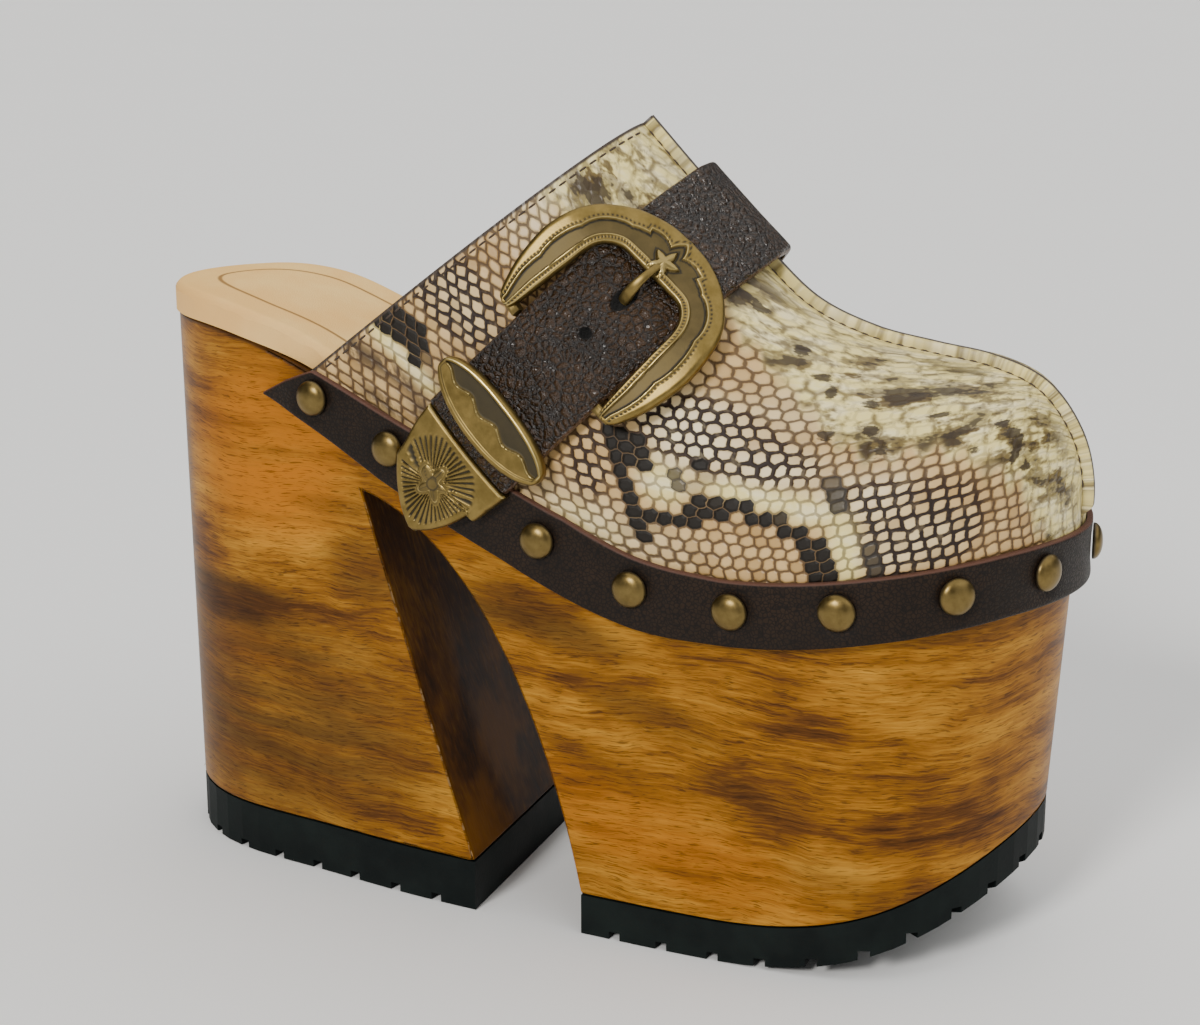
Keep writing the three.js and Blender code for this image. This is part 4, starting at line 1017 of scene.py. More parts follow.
def makeInsole():
    # straight ribs from side to side; the top falls off round the edge as a quarter circle
    share = edgeColumns(insole["rows"])
    ends = []
    for side in (-1, 1):
        turn = 0.5 * share if side < 0 else 1.0 - 0.5 * share
        x, y, base = planPoint(turn, insoleTuck(planPoint(turn)[2]))[:3]
        ends.append(np.stack([x, y, base], -1))
    step = edgeColumns(insole["across"])
    plan = lerp(ends[0][:, None, :], ends[1][:, None, :], step[None, :, None])
    turns = np.linspace(0.0, 1.0, 1200, endpoint=False)
    edgeX, edgeY = planPoint(turns, insoleTuck(planPoint(turns)[2]))[:2]
    inset = np.full(plan.shape[:2], 1e9)
    for start in range(0, len(turns), 60):
        some = slice(start, start + 60)
        gap = np.hypot(plan[..., 0, None] - edgeX[some], plan[..., 1, None] - edgeY[some])
        inset = np.minimum(inset, gap.min(-1))
    thickness = lerp(insole["heelThickness"], insole["toeThickness"],
                     smooth(plan[..., 2] / last["soleLength"]))
    low = seatHeight(plan[..., 2]) + last["seatGap"]
    reach = np.minimum(inset / insole["round"], 1.0)
    fall = insole["round"] * (1.0 - np.sqrt(np.maximum(1.0 - (1.0 - reach) ** 2, 0.0)))
    high = low + thickness - np.minimum(fall, thickness - 1.2)
    top = np.stack([plan[..., 0], plan[..., 1], high], -1)
    under = np.stack([plan[..., 0], plan[..., 1], low], -1)
    points = np.concatenate([top.reshape(-1, 3), under.reshape(-1, 3)])
    piece = makePiece("leatherInsole", points, slabFaces(*plan.shape[:2]), [insoleLeather],
                      "insole_leather", ["insole"], values={"inset": np.concatenate([inset.ravel()] * 2)},
                      merge=True, angle=50.0)


makeInsole()
print("insole made")


# Band and studs

band = {
    "side": [0.192, 0.22, 0.25, 0.32, 0.38, 0.44, 0.5, 0.56, 0.64, 0.76, 0.88, 1.0],
    "top": [-0.68, -0.25, 0.17, 0.28, 0.4, 0.5, 0.5, 0.36, 0.26, 0.27, 0.24, 0.17],
    "bottom": [-0.73, -0.74, -0.76, -0.8, -0.76, -0.7, -0.72, -0.75, -0.74, -0.71, -0.71, -0.75],
    "width": 16.5, "thickness": 1.6, "margin": 0.45, "steps": 520, "across": 24, "dish": 0.35,
}
stud = {
    "radius": 4.6, "height": 2.3, "rings": 12, "around": 40, "count": 17, "rise": 0.55,
}


def bandColumn(share, column):
    return band["width"] * np.interp(share, band["side"], band[column])


def bandOffset(share):
    # over the upper, and down on the wood behind it
    collar = last["feather"][0] - 2 * last["seatGap"] / last["ballWidth"]
    onWood = smooth((collar - share) / (collar - band["side"][0]))
    return lerp(upperOffset + last["seatGap"], band["margin"], onWood)


def studTurns():
    # the place of each stud on the plan curve, from the box of its own node
    turns = np.linspace(0.0, 1.0, 4000, endpoint=False)
    share = np.where(turns < 0.5, 2 * turns, 2 - 2 * turns)
    x, y = planPoint(turns, bandOffset(share) + band["thickness"] + last["seatGap"])[:2]
    found = []
    for k in range(stud["count"]):
        low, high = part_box(f"stud_{k + 1}")
        middle = 500.0 * np.array([low.x + high.x, low.y + high.y]) - shift[:2]
        found.append(turns[np.argmin(np.hypot(x - middle[0], y - middle[1]))])
    return np.array(found)


def makeBand():
    start = band["side"][0]
    u = np.linspace(0.0, 1.0, band["steps"] + 1)
    share = np.where(u <= 0.5, start + (1 - start) * 2 * u, start + (1 - start) * 2 * (1 - u))
    turn = np.where(u <= 0.5, 0.5 * share, 1.0 - 0.5 * share)
    v = edgeColumns(band["across"])
    base = planPoint(turn)[2]
    low, high = bandColumn(share, "bottom"), bandColumn(share, "top")
    z = seatHeight(base)[:, None] + lerp(low[:, None], high[:, None], v[None, :])
    edge = (high - low)[:, None] * np.minimum(v, 1 - v)[None, :]
    roundness = rounded(edge, 0.9)
    thickness = band["thickness"] * (0.62 + 0.38 * roundness)
    turns = np.broadcast_to(turn[:, None], z.shape)
    x, y, _, outX, outY = planPoint(turns, bandOffset(share)[:, None] + thickness)
    top = np.stack([x, y, z], -1)
    for place in studTurns():
        sharePlace = np.array(2 * place if place < 0.5 else 2 - 2 * place)
        out = float(bandOffset(sharePlace)) + band["thickness"]
        centreX, centreY, centreBase = planPoint(np.array(place), out)[:3]
        centreZ = seatHeight(centreBase) + lerp(
            bandColumn(sharePlace, "bottom"), bandColumn(sharePlace, "top"), stud["rise"])
        away = np.linalg.norm(top - np.array([centreX, centreY, centreZ]), axis=-1)
        dip = band["dish"] * np.exp(-((np.maximum(away - stud["radius"], 0.0) / 1.5) ** 2))
        top = top - np.stack([outX * dip, outY * dip, 0 * dip], -1)
    x, y = planPoint(turns, np.broadcast_to(bandOffset(share)[:, None], z.shape))[:2]
    under = np.stack([x, y, z], -1)
    steps = np.linalg.norm(np.diff(under[:, band["across"] // 2], axis=0), axis=-1)
    walked = np.concatenate([[0.0], np.cumsum(steps)])
    uv = np.stack(np.broadcast_arrays(walked[:, None], (high - low)[:, None] * v[None, :]), -1)
    raw = smooth((edge - 0.55) / -0.3) * (v[None, :] > 0.5)
    points = np.concatenate([top.reshape(-1, 3), under.reshape(-1, 3)])
    makePiece("studdedBand", points, slabFaces(len(u), len(v)), [bandLeather], "band_leather", ["rand_band"],
              uv=np.concatenate([uv.reshape(-1, 2)] * 2),
              values={"raw": np.concatenate([raw.ravel()] * 2)}, angle=50.0)


def makeStuds():
    # domes of a flattened circle, lying on the band
    around = np.linspace(0.0, 2 * math.pi, stud["around"], endpoint=False)
    angle = np.linspace(0.0, math.pi / 2, stud["rings"])[:-1]
    radius = np.concatenate([[stud["radius"] * 0.97], stud["radius"] * np.cos(angle) ** 0.9])
    height = np.concatenate([[-0.25], stud["height"] * np.sin(angle) ** 1.05])
    ring = np.stack([np.cos(around), np.sin(around)], -1)
    heights = np.broadcast_to(height[:, None, None], (len(height), len(ring), 1))
    flat = np.concatenate([radius[:, None, None] * ring[None], heights], -1)
    cap = np.array([[[0.0, 0.0, stud["height"]]]]).repeat(len(ring), 1)
    floor = np.array([[[0.0, 0.0, -0.25]]]).repeat(len(ring), 1)
    flat = np.concatenate([floor, flat, cap])
    faces = gridFaces(len(flat), len(ring), closed=True)
    relief = np.clip(flat[..., 2] / stud["height"], 0.0, 1.0) ** 2
    # the dome darkens towards its foot on the band: patina, and painted shade where it meets the band
    dark = smooth((0.35 - flat[..., 2] / stud["height"]) / 0.35)
    for k, turn in enumerate(studTurns()):
        share = np.array(2 * turn if turn < 0.5 else 2 - 2 * turn)
        x, y, base, outX, outY = planPoint(np.array(turn), float(bandOffset(share)) + band["thickness"] + 0.3)
        z = seatHeight(base) + lerp(bandColumn(share, "bottom"), bandColumn(share, "top"), stud["rise"])
        sideways = np.array([-outY, outX, 0.0])
        outward = np.array([outX, outY, 0.0])
        spin = 2.4 * k
        turned = (flat[..., :1] * math.cos(spin) - flat[..., 1:2] * math.sin(spin),
                  flat[..., :1] * math.sin(spin) + flat[..., 1:2] * math.cos(spin))
        points = (np.array([float(x), float(y), float(z)]) + turned[0] * sideways
                  + turned[1] * np.array([0.0, 0.0, 1.0]) + flat[..., 2:3] * outward)
        makePiece(f"brassStud{k + 1}", points, faces, [studBrass], "aged_brass", [f"stud_{k + 1}"],
                  values={"relief": 0.55 * relief, "dark": 0.85 * dark}, merge=True, angle=60.0)


makeBand()
makeStuds()
print("band and studs made")


# Strap coordinates: a runs along the strap's middle line from the outer feather, b across it towards
# the toe, and h stands over the upper and its seam

strap = {
    "section": 0.161, "tipTurn": 16.0, "width": 30.0, "thickness": 2.6, "billet": 1.6, "seamHeight": 2.6,
    "swell": 5.5, "liftRun": 14.0, "liftDelay": 2.0, "tipDistance": 10.8, "prongHole": 64.0,
    "slotLength": 7.4, "slotWidth": 4.4, "spareHole": 52.0, "holeWidth": 3.0,
}
lineTurns = np.arange(661) / 300.0
linePoints = skin(strap["section"], lineTurns)
lineLengths = np.concatenate([[0.0], np.cumsum(np.linalg.norm(np.diff(linePoints, axis=0), axis=-1))])


def strapSlope():
    # section and turn for each millimetre below the feather
    rise = skin(strap["section"], 1.0) - skin(strap["section"], 0.0)
    angle = math.atan2(rise[2], rise[0]) + math.radians(strap["tipTurn"])
    feather = (skin(strap["section"] + 0.02, 0.0) - skin(strap["section"] - 0.02, 0.0)) / 0.04
    section = math.cos(angle) / feather[0]
    return section, (math.sin(angle) - feather[2] * section) / last["margin"]


slope = strapSlope()


def strapMiddle(a):
    below = np.minimum(a, 0.0)
    turn = np.where(a > 0, np.interp(a, lineLengths, lineTurns), slope[1] * below)
    return strap["section"] + slope[0] * below, turn


def strapPlace(a, b):
    section, turn = strapMiddle(a)
    across = (skin(section + 0.01, turn) - skin(section - 0.01, turn)) / 0.02
    forward = unit(skin(*strapMiddle(a + 0.5)) - skin(*strapMiddle(a - 0.5)))
    lean = (across * forward).sum(-1)
    moved = b / np.sqrt((across * across).sum(-1) - lean * lean)
    section, turn = strapMiddle(a - moved * lean)
    return section + moved, turn


def strapPoint(a, b, h):
    a, b, h = np.broadcast_arrays(np.asarray(a, float), np.asarray(b, float), np.asarray(h, float))
    section, turn = strapPlace(a, b)
    point = skin(section, turn)
    beside = np.maximum(np.abs(point[..., 1] - ridgeY) - 3.0, 0.0)
    overSeam = (strap["seamHeight"] + last["seatGap"]) * np.exp(-((beside / strap["swell"]) ** 2))
    return point + skinNormal(section, turn) * (h + overSeam)[..., None]


def strapLift(a):
    raised = strap["billet"] + last["seatGap"]
    fallen = smooth((a - strap["prongHole"] - strap["liftDelay"]) / strap["liftRun"])
    return last["seatGap"] + raised * (1.0 - fallen)


def strapTop(a):
    return strapLift(a) + strap["thickness"] + last["seatGap"]


def bandEdgeLength(b):
    # the a at which the line with this b reaches the band's upper edge on the inner side
    b = np.asarray(b, float)
    a = np.full(b.shape, float(np.interp(2.0, lineTurns, lineLengths)))
    for _ in range(60):
        section, turn = strapPlace(a, b)
        share = along(last["feather"], section)
        point = skin(section, turn)
        base = sidePoint(share, 1)[2]
        drift = point[..., 0] - skin(section, np.full(b.shape, 2.0))[..., 0]
        rise = bandColumn(share + drift / last["soleLength"], "top") + seatHeight(base + drift)
        a = a - 0.5 * (rise + band["margin"] - point[..., 2])
    return a


def plate(name, a, b, low, high, materials, slotName, nodes=(), values=None, extra=None, **options):
    # a sheet in strap coordinates between two heights; extra adds closed grids to the same piece
    points = [strapPoint(a, b, high).reshape(-1, 3), strapPoint(a, b, low).reshape(-1, 3)]
    faces = [slabFaces(*a.shape)]
    count = 2 * a.size
    uv = np.concatenate([np.stack([a, b], -1).reshape(-1, 2)] * 2)
    values = {key: np.concatenate([np.broadcast_to(value, a.shape).ravel()] * 2)
              for key, value in (values or {}).items()}
    for more in extra or []:
        size = more.shape[1] * more.shape[2]
        points.append(more.reshape(-1, 3))
        faces.append(slabFaces(*more.shape[1:3]) + count)
        count += 2 * size
        uv = np.concatenate([uv, np.zeros((2 * size, 2))])
        values = {key: np.concatenate([value, np.full(2 * size, 0.3)]) for key, value in values.items()}
    return makePiece(name, np.concatenate(points), np.concatenate(faces), materials, slotName, nodes,
                     uv=uv, values=values, **options)


def brick(aEnds, bEnds, low, high, steps=6):
    a, b = np.meshgrid(np.linspace(*aEnds, steps + 1), np.linspace(*bEnds, steps + 1), indexing="ij")
    rim = np.minimum(np.minimum(a - aEnds[0], aEnds[1] - a), np.minimum(b - bEnds[0], bEnds[1] - b))
    return np.stack([strapPoint(a, b, high - 0.4 * (rim < 0.1)), strapPoint(a, b, low + 0 * a)])


def makeStrap():
    # pebbled strap with soft wrinkles; its edges are rounded and its two holes are sunk
    half = 0.5 * strap["width"]
    v = edgeColumns(72)
    b = np.broadcast_to(half * (2 * v - 1), (521, len(v)))
    u = np.linspace(0.0, 1.0, 521)[:, None]
    a = lerp(strap["tipDistance"] + last["seatGap"], bandEdgeLength(b[0])[None, :], u)
    edge = half - np.abs(b)
    roundness = rounded(edge, 1.3)
    wrinkle = 0.03 * np.sin(0.55 * a + 1.1 * np.sin(0.35 * b)) * np.sin(0.31 * b + 0.8 * np.sin(0.2 * a))
    high = strapLift(a) + strap["thickness"] * (0.55 + 0.45 * roundness)
    high = high + wrinkle * np.minimum(edge / 3.0, 1.0)
    spare = np.hypot(a - strap["spareHole"], b) / (0.5 * strap["holeWidth"])
    slot = np.hypot((a - strap["prongHole"]) / (0.5 * strap["slotLength"]), b / (0.5 * strap["slotWidth"]))
    # hole marks the two sunk holes, which the leather finish paints black as shade
    hole = smooth((1.25 - np.minimum(spare, slot)) / 0.6)
    high = high - 1.5 * hole
    raw = smooth((0.42 - edge) / 0.3)
    plate("overStrap", a, b, strapLift(a), high, [strapLeather], "strap_leather", ["strap"],
          values={"raw": raw, "hole": hole}, angle=55.0)


# Buckle, keeper and tip: cast plates whose relief is worked out from distances in millimetres

buckle = {
    "bar": 42.0, "length": 43.0, "width": 53.0, "thickness": 2.4, "legEnd": 0.76,
    "outerAlong": [0.985, 0.965, 0.88, 0.71, 0.46, 0.22, 0.05, -0.01],
    "outerAcross": [0.0, 0.28, 0.6, 0.87, 0.99, 0.95, 0.85, 0.78],
    "innerAlong": [0.69, 0.69, 0.675, 0.58, 0.39, 0.21, 0.05, -0.01],
    "innerAcross": [0.0, 0.2, 0.4, 0.54, 0.575, 0.6, 0.63, 0.66],
    "steps": 520, "across": 48, "rimShare": 0.42, "waveLength": 12.0, "waveHeight": 0.75,
    "innerLines": [0.55, 2.0], "beadPitch": 1.0, "panelDepth": 0.55, "star": (75.6, 0.0), "starRadius": 4.3,
    "burst": [(0.0, 6.9), (28.0, 4.4), (66.0, 9.4), (96.0, 4.6), (180.0, 3.0)],
}


def ridgeLine(distance, width):
    # 1 on a line and 0 a width away from it
    return smooth(1.0 - np.abs(distance) / width)


def makeBuckle():
    turn = np.linspace(-1.0, 1.0, buckle["steps"] + 1)
    share = np.abs(turn)
    side = np.sign(turn)
    v = np.linspace(0.0, 1.0, buckle["across"] + 1)[None, :]
    ends = {}
    for name in ("inner", "outer"):
        ends[name] = (buckle["bar"] + buckle["length"] * along(buckle[name + "Along"], share),
                      0.5 * buckle["width"] * side * along(buckle[name + "Across"], share))
    wide = np.hypot(ends["outer"][0] - ends["inner"][0], ends["outer"][1] - ends["inner"][1])[:, None]
    tip = np.maximum((share - 0.965) / 0.035, 0.0)
    narrow = np.sqrt(np.maximum(1.0 - tip**2, 0.02))[:, None]
    place = 0.5 + (v - 0.5) * narrow
    a = lerp(ends["inner"][0][:, None], ends["outer"][0][:, None], place)
    b = lerp(ends["inner"][1][:, None], ends["outer"][1][:, None], place)
    centre = buckle["across"] // 2
    middleA, middleB = a[:, centre], b[:, centre]
    walked = np.concatenate([[0.0], np.cumsum(np.hypot(np.diff(middleA), np.diff(middleB)))])
    walked = (walked - walked[buckle["steps"] // 2])[:, None]
    reach = np.minimum(wide / 9.0, 1.0)
    fromWindow = v * wide
    arcs = np.abs(np.sin(math.pi * np.abs(walked) / buckle["waveLength"])) ** 0.7
    wave = buckle["waveHeight"] * reach * (0.6 - arcs)
    fromWave = (v - 1.0 + buckle["rimShare"]) * wide + wave
    starA, starB = a - buckle["star"][0], b - buckle["star"][1]
    angle = np.degrees(np.abs(np.arctan2(starB, starA)))
    radius = np.hypot(starA, starB)
    burst = radius - np.interp(angle, *zip(*buckle["burst"]))
    nearStar = smooth((15.0 - np.abs(walked)) / 3.0)
    panel = np.minimum(fromWave, lerp(99.0, 0.8 * burst, nearStar))
    endShare = smooth((share - 0.93) / 0.03)[:, None]
    panel = np.maximum(panel, lerp(-99.0, 99.0, endShare))
    innerLow, innerHigh = (line * reach for line in buckle["innerLines"])
    beads = 0.5 + 0.5 * np.cos(2 * math.pi * walked / buckle["beadPitch"])
    outerLine = ridgeLine(panel - 0.1, 0.42) * (fromWindow > innerHigh)
    outerBeads = ridgeLine(panel - 0.85, 0.42) * beads
    innerBeads = ridgeLine(fromWindow - 0.5 * (innerLow + innerHigh), 0.5 * reach) * beads
    innerLine = np.maximum(ridgeLine(fromWindow - innerHigh, 0.42), ridgeLine(fromWindow - innerLow, 0.45))
    sunk = smooth(-(panel + 0.1) / 0.35) * smooth((fromWindow - innerHigh - 0.15) / 0.35)
    points = np.abs((np.degrees(np.arctan2(starB, starA)) + 36.0) % 72.0 - 36.0) / 36.0
    starEdge = buckle["starRadius"] * lerp(1.0, 0.45, points ** 0.75)
    star = smooth((starEdge - radius) / 0.4)
    starCone = np.clip(1.0 - radius / starEdge, 0.0, 1.0)
    edge = np.minimum(v, 1.0 - v) * wide * narrow
    roundness = rounded(edge, 1.7)
    height = buckle["thickness"] * (0.5 + 0.5 * roundness) - 0.35 * smooth((fromWindow - 0.2) / -0.8)
    height = height - buckle["panelDepth"] * sunk * (1 - star) + 0.18 * outerLine + 0.16 * innerLine
    height = height - 0.2 * outerBeads - 0.15 * innerBeads + (0.25 + 1.0 * starCone) * star
    relief = np.clip(0.95 * np.maximum(outerLine, innerLine) + 0.75 * star + 0.25 * (panel > 0.9), 0.0, 1.0)
    dark = np.clip(1.3 * np.maximum(outerBeads, innerBeads) + 0.60 * sunk * (1 - star)
                   + 0.8 * ridgeLine(panel + 0.55, 0.35) * (fromWindow > innerHigh + 0.3)
                   + 0.8 * ridgeLine(starEdge - radius + 0.45, 0.4) * (fromWindow > innerHigh), 0.0, 1.0)
    dark = dark * (1 - 0.95 * star)
    low = strapTop(a)
    extra = []
    inside = 0.5 * strap["width"] + 0.3
    outside = 0.5 * buckle["width"] * buckle["legEnd"]
    for legSide in (-1, 1):
        bEnds = sorted((legSide * inside, legSide * outside))
        legTop = float(strapTop(buckle["bar"])) + 0.9
        extra.append(brick((buckle["bar"] - 0.75, buckle["bar"] + 1.5), bEnds, 0.45, legTop))
    barEnds = (-inside - 0.7, inside + 0.7)
    extra.append(brick((buckle["bar"] - 0.75, buckle["bar"] + 0.75), barEnds, 0.45, 1.95, 12))
    plate("buckleFrame", a, b, low, low + height, [brass], "aged_brass", ["buckle_frame"],
          values={"relief": relief, "dark": dark}, extra=extra, angle=60.0)


prong = {
    "along": [0.1, 0.5, 0.82, 0.95, 1.03, 1.12, 1.27, 1.46],
    "height": [-0.42, -0.42, -0.42, 0.05, 0.85, 1.75, 2.2, 2.1],
    "width": 3.2, "thickness": 1.6, "rows": 70, "around": 16,
}


def makeProng():
    # a rounded bar along a curve over the window's far edge
    u = np.linspace(0.0, 1.0, prong["rows"] + 1)
    reach = strap["prongHole"] - buckle["bar"]

    def path(s):
        a = buckle["bar"] + reach * along(prong["along"], s)
        return a, float(strapLift(strap["prongHole"])) + strap["thickness"] * along(prong["height"], s)

    aheadA, aheadH = path(np.minimum(u + 0.01, 1.0))
    backA, backH = path(np.maximum(u - 0.01, 0.0))
    slopeA, slopeH = aheadA - backA, aheadH - backH
    size = np.hypot(slopeA, slopeH)
    centreA, centreH = path(u)
    around = np.linspace(0.0, 2 * math.pi, prong["around"], endpoint=False)
    taper = 1.0 - 0.45 * smooth((u - 0.6) / 0.4)
    taper = taper * np.sqrt(1.0 - 0.96 * np.clip((u - 0.97) / 0.03, 0, 1) ** 2)
    across = 0.5 * prong["width"] * taper[:, None] * np.sign(np.cos(around)) * np.abs(np.cos(around)) ** 0.8
    thick = 0.5 * prong["thickness"] * (1.0 - 0.35 * smooth((u - 0.7) / 0.3)) * np.sqrt(taper)
    up = thick[:, None] * np.sign(np.sin(around)) * np.abs(np.sin(around)) ** 0.8
    a = centreA[:, None] - up * (slopeH / size)[:, None]
    h = centreH[:, None] + up * (slopeA / size)[:, None]
    points = strapPoint(a, across, h).reshape(-1, 3)
    faces = gridFaces(len(u), prong["around"], closed=True)
    middles = np.stack([points[:prong["around"]].mean(0), points[-prong["around"]:].mean(0)])
    count = len(points)
    ring = np.arange(prong["around"])
    after = (ring + 1) % prong["around"]
    final = count - prong["around"]
    caps = np.concatenate([
        np.stack([after, ring, np.full_like(ring, count)], 1),
        np.stack([ring + final, after + final, np.full_like(ring, count + 1)], 1)])
    points = np.concatenate([points, middles])
    value = np.full(len(points), 1.0)
    makePiece("bucklePin", points, faces, [brass], "aged_brass", ["buckle_prong"],
              values={"relief": 0.6 * value, "dark": 0.12 * value}, caps=caps.tolist(), angle=60.0)


keeper = {
    "distance": 20.8, "length": 38.5, "breadth": 11.5, "thickness": 2.6, "legWidth": 1.8,
    "fullness": 2.3, "roundness": 0.6, "rim": 1.5, "waveLength": 9.5, "waveHeight": 0.75,
}


def makeKeeper():
    # an oval with a raised rim, a dark sunk half towards the buckle and a wavy line between the halves
    u = edgeColumns(190)[:, None]
    v = np.linspace(0.0, 1.0, 57)[None, :]
    share = 2 * u - 1
    taper = np.maximum(1 - np.abs(share) ** keeper["fullness"], 0.0) ** keeper["roundness"]
    width = 0.5 * (keeper["breadth"] * taper + keeper["legWidth"])
    closing = np.sqrt(np.maximum(1.0 - (np.maximum(np.abs(share) - 0.96, 0.0) / 0.04) ** 2, 0.03))
    width = width * closing
    a = keeper["distance"] + width * (2 * v - 1)
    b = 0.5 * keeper["length"] * share + 0 * v
    inward = np.minimum(width * (1 - np.abs(2 * v - 1)), 1.4 * 0.5 * keeper["length"] * (1 - np.abs(share)))
    field = inward - keeper["rim"]
    wave = keeper["waveHeight"] * np.sin(2 * math.pi * b / keeper["waveLength"]) + 0.2
    fromWave = a - keeper["distance"] - wave
    line = ridgeLine(fromWave, 0.5) * smooth((field - 0.4) / 0.4)
    darkHalf = smooth(fromWave / 0.5 + 0.2) * smooth(field / 0.3)
    brassHalf = smooth(-fromWave / 0.5 + 0.2) * smooth(field / 0.3)
    roundness = rounded(inward, 1.1)
    height = keeper["thickness"] * (0.45 + 0.55 * roundness)
    height = height - 0.75 * darkHalf - 0.35 * brassHalf + 0.15 * line
    rimLine = ridgeLine(field + 0.55, 0.6)
    relief = np.clip(0.9 * line + rimLine * (0.55 + 0.4 * (fromWave > 0)), 0.0, 1.0)
    dark = np.clip(0.88 * darkHalf * (1 - line) + 0.5 * ridgeLine(field - 0.15, 0.3), 0.0, 1.0)
    inside = 0.5 * strap["width"] + 0.3
    extra = []
    for side in (-1, 1):
        bEnds = sorted((side * inside, side * (inside + keeper["legWidth"])))
        aEnds = (keeper["distance"] - keeper["legWidth"], keeper["distance"] + keeper["legWidth"])
        extra.append(brick(aEnds, bEnds, 0.45, float(strapTop(keeper["distance"])) + 1.0))
    low = strapTop(a)
    plate("strapKeeper", a, b, low, low + height, [brass], "aged_brass", ["keeper"],
          values={"relief": relief, "dark": dark}, extra=extra, angle=60.0)


tip = {
    "length": 26.5, "cap": 0.9, "shift": 0.8, "fullness": 1.8, "roundness": 0.72, "point": 0.08,
    "centre": (-1.2, 0.8), "rays": 44, "petals": 5, "ornament": 4.6,
}


def makeTip():
    # a shield with short rays round a raised rosette
    u = (np.linspace(0.0, 1.0, 131) ** 0.85)[:, None]
    v = np.linspace(0.0, 1.0, 121)[None, :]
    half = 0.5 * strap["width"]
    taper = np.maximum(1 - u ** tip["fullness"], 0.0) ** tip["roundness"]
    width = half * np.maximum(taper, tip["point"])
    a = strap["tipDistance"] - tip["length"] * u + 0 * v
    b = tip["shift"] + width * (2 * v - 1)
    sideways = (width * (1 - np.abs(2 * v - 1))) * np.cos(np.arctan2(tip["fullness"] * u, 1.6))
    inward = np.minimum(sideways, tip["length"] * (1 - u))
    ahead = tip["length"] * u + 0 * v
    rim = np.minimum(inward, ahead)
    roundness = rounded(rim, 1.0)
    offA, offB = a - tip["centre"][0], b - tip["centre"][1]
    radius, angle = np.hypot(offA, offB), np.arctan2(offB, offA)
    petal = tip["ornament"] * (0.72 + 0.28 * np.cos(tip["petals"] * angle))
    ornament = smooth((petal - radius) / 0.5)
    outline = ridgeLine(petal - radius, 0.45)
    parting = ridgeLine(np.sin(2.5 * angle) * radius, 0.3)
    heart = ridgeLine(radius - 1.5, 0.4) + parting * (radius < petal) * (radius > 1.5)
    rayWidth = 0.5 + 0.5 * np.cos(tip["rays"] * angle)
    rays = smooth((rayWidth - 0.55) / 0.3) * smooth((radius - petal - 0.9) / 0.5)
    rays = rays * smooth((inward - 1.6) / 0.5) * smooth((ahead - 1.8) / 0.5) * smooth(12.0 - radius)
    height = strap["thickness"] - 0.3 + (tip["cap"] + 0.3) * roundness
    height = height - 0.4 * rays + 0.3 * ornament - 0.1 * heart
    relief = 0.9 * outline + 0.6 * ridgeLine(rim - 0.5, 0.5) + 0.9 * ridgeLine(ahead - 0.35, 0.5)
    relief = np.clip(relief, 0.0, 1.0)
    dark = 0.95 * rays + 0.35 * ornament + 0.5 * np.minimum(heart, 1.0)
    dark = np.clip(dark + 0.5 * ridgeLine(radius - petal - 0.5, 0.35), 0.0, 1.0)
    plate("strapTip", a, b, strapLift(a), strapLift(a) + height, [brass], "aged_brass", ["strap_tip"],
          values={"relief": relief, "dark": dark * (1 - 0.8 * outline)}, angle=60.0)


makeStrap()
makeBuckle()
makeProng()
makeKeeper()
makeTip()
print("strap and buckle made")


# Stitches along the collar and at the seam's foot

stitch = {"length": 2.3, "pitch": 3.1, "radius": 0.28, "collar": 2.1, "seam": 0.7}


def stitchRow(points, normals):
    # capsules laid along a line of points, a pitch apart
    steps = np.linalg.norm(np.diff(points, axis=0), axis=-1)
    walked = np.concatenate([[0.0], np.cumsum(steps)])
    places = np.arange(0.5 * stitch["pitch"], walked[-1] - 0.5 * stitch["pitch"], stitch["pitch"])

    def at(length):
        return np.stack([np.interp(length, walked, points[:, k]) for k in range(3)], -1)

    middle = at(places)
    forward = unit(at(places + 0.5) - at(places - 0.5))
    normal = unit(np.stack([np.interp(places, walked, normals[:, k]) for k in range(3)], -1))
    sideways = unit(np.cross(normal, forward))
    spots = np.array([-0.5, -0.4, -0.2, 0.2, 0.4, 0.5]) * stitch["length"]
    radii = np.array([0.25, 0.8, 1.0, 1.0, 0.8, 0.25]) * stitch["radius"]
    drop = np.array([-0.25, -0.05, 0.1, 0.1, -0.05, -0.25]) * stitch["radius"] * 2
    around = np.linspace(0.0, 2 * math.pi, 6, endpoint=False)
    rings = (middle[:, None, None] + forward[:, None, None] * spots[None, :, None, None]
             + sideways[:, None, None] * (radii[:, None] * np.cos(around))[None, :, :, None]
             + normal[:, None, None] * (drop[:, None] + radii[:, None] * np.sin(around))[None, :, :, None])
    return rings.reshape(-1, 36, 3)


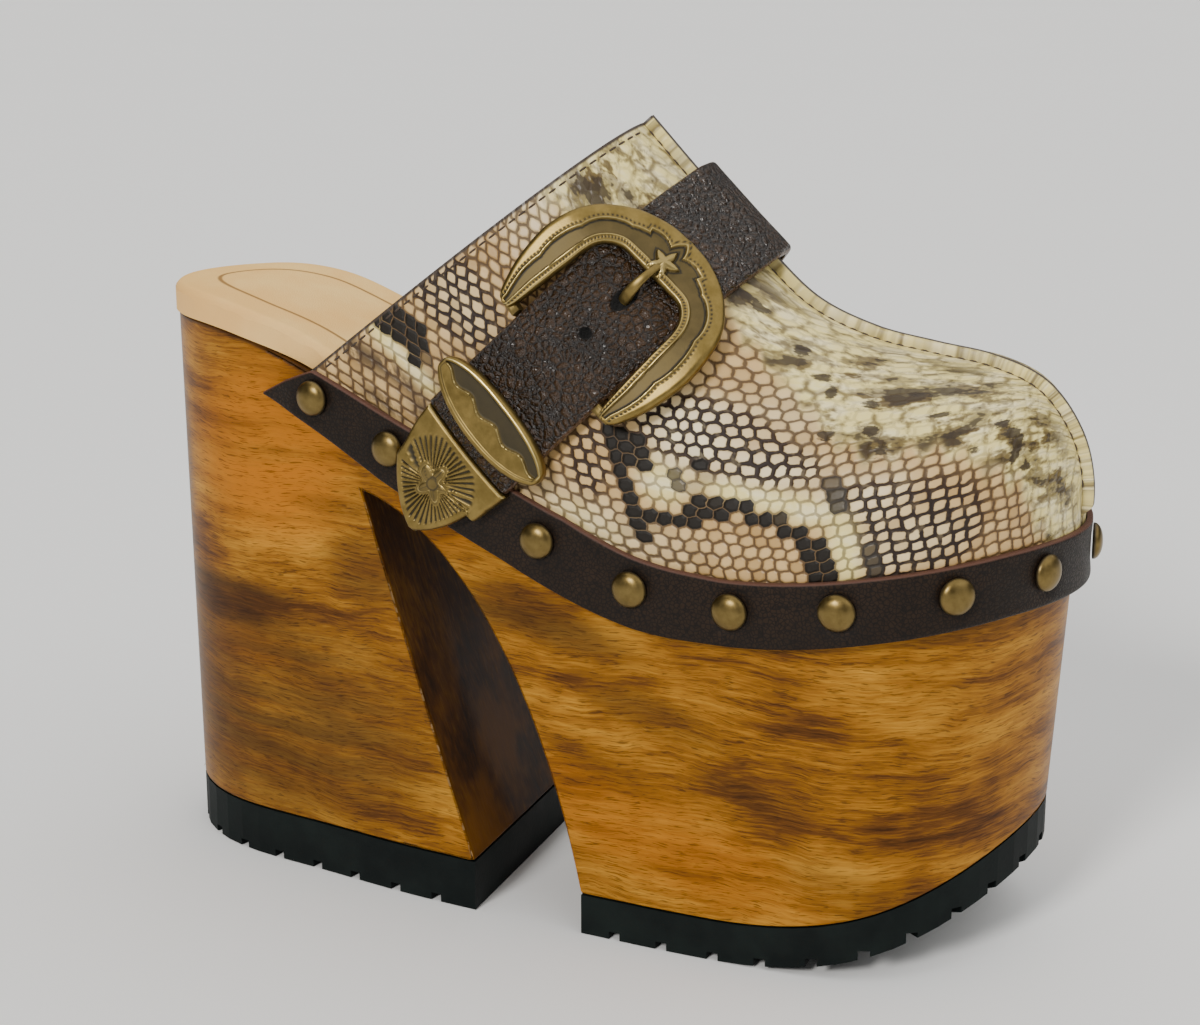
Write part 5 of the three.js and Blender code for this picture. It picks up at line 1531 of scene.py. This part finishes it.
def makeStitches():
    rows = []
    turns = np.concatenate([np.linspace(0.02, 0.965, 160), np.linspace(1.035, 1.98, 160)])
    step = 1e-3
    for half in (turns[:160], turns[160:]):
        edge = skin(np.zeros(160), half)
        length = np.linalg.norm(skin(np.full(160, step), half) - edge, axis=-1) / step
        section = stitch["collar"] / length
        rows.append(stitchRow(skin(section, half), skinNormal(section, half)))
    for side in (-1, 1):
        section = np.linspace(0.01, 0.93, 400)
        near = np.full(400, 1.0 + side * 1e-9)
        step = 0.02 * side
        length = np.linalg.norm(skin(section, near + step) - skin(section, near), axis=-1) / 0.02
        turn = near + side * stitch["seam"] / length
        rows.append(stitchRow(skin(section, turn), skinNormal(section, turn)))
    points = np.concatenate(rows)
    base = gridFaces(6, 6, closed=True)
    ends = np.array([[3, 2, 1, 0], [5, 4, 3, 0], [30, 31, 32, 33], [30, 33, 34, 35]])
    faces = np.concatenate([base, ends])
    faces = (faces[None] + 36 * np.arange(len(points))[:, None, None]).reshape(-1, 4)
    makePiece("upperStitches", points.reshape(-1, 3), faces, [thread], "printed_leather", angle=60.0)


makeStitches()
print("stitches made")


# Studio

studio = {
    "cameraPlace": (338.58, -565.16, 271.92), "up": (-0.09615, 0.25153, 0.96306),
    "photoFocal": 1769.63, "photoWidth": 1200.0,
    "closer": 1.35, "aim": (122.0, 0.0, 100.0), "sensor": 36.0,
    "floorColor": rgb(0.93, 0.93, 0.92), "world": 0.10,
    "lights": {
        "KeySun": {"toLight": (-0.16, -0.84, 0.52), "strength": 2.3, "angle": 14.0,
                   "color": (1.0, 0.98, 0.95)},
        "TopSun": {"toLight": (0.25, 0.15, 1.0), "strength": 2.4, "angle": 100.0,
                   "color": (1.0, 0.99, 0.97)},
        "SideSun": {"toLight": (0.9, -0.35, 0.35), "strength": 0.5, "angle": 60.0,
                    "color": (1.0, 1.0, 1.0)},
    },
}


def makeCamera():
    # the photo's own viewpoint, turned to face the one shoe, with a longer lens
    data = bpy.data.cameras.new("Camera")
    camera = bpy.data.objects.new("Camera", data)
    bpy.context.scene.collection.objects.link(camera)
    place = Vector(toFrame(studio["cameraPlace"]))
    aim = Vector(toFrame(studio["aim"]))
    back = (place - aim).normalized()
    up = Vector(studio["up"])
    right = up.cross(back).normalized()
    up = back.cross(right)
    turn = Matrix((right, up, back)).transposed().to_4x4()
    camera.matrix_world = Matrix.Translation(place) @ turn
    data.sensor_width = studio["sensor"]
    data.lens = studio["photoFocal"] / studio["photoWidth"] * studio["sensor"] * studio["closer"]
    data.clip_start = 0.01
    bpy.context.scene.camera = camera


def makeFloor():
    finish = Finish("PaleFloor", {"Roughness": 0.6, "Specular IOR Level": 0.2})
    tone = finish.place().noise(3.0, 2.0)
    finish.drive("Base Color", tone.blend(studio["floorColor"], rgb(0.95, 0.95, 0.94)))
    size = 4.0
    mesh = bpy.data.meshes.new("studioFloor")
    mesh.from_pydata([(-size, -size, -0.0002), (size, -size, -0.0002), (size, size, -0.0002),
                      (-size, size, -0.0002)], [], [(0, 1, 2, 3)])
    mesh.materials.append(finish.material)
    floor = bpy.data.objects.new("studioFloor", mesh)
    bpy.context.scene.collection.objects.link(floor)


def makeStudio():
    world = bpy.data.worlds.new("Studio")
    bpy.context.scene.world = world
    world.use_nodes = True
    world.node_tree.nodes["Background"].inputs[0].default_value = rgb(1.0, 1.0, 1.0)
    world.node_tree.nodes["Background"].inputs[1].default_value = studio["world"]
    for name, row in studio["lights"].items():
        data = bpy.data.lights.new(name, "SUN")
        data.energy = row["strength"]
        data.angle = math.radians(row["angle"])
        data.color = row["color"]
        light = bpy.data.objects.new(name, data)
        light.rotation_euler = Vector(row["toLight"]).to_track_quat("Z", "Y").to_euler()
        light.location = Vector(row["toLight"]) * 2.0
        bpy.context.scene.collection.objects.link(light)


makeCamera()
makeFloor()
makeStudio()
print("studio made")
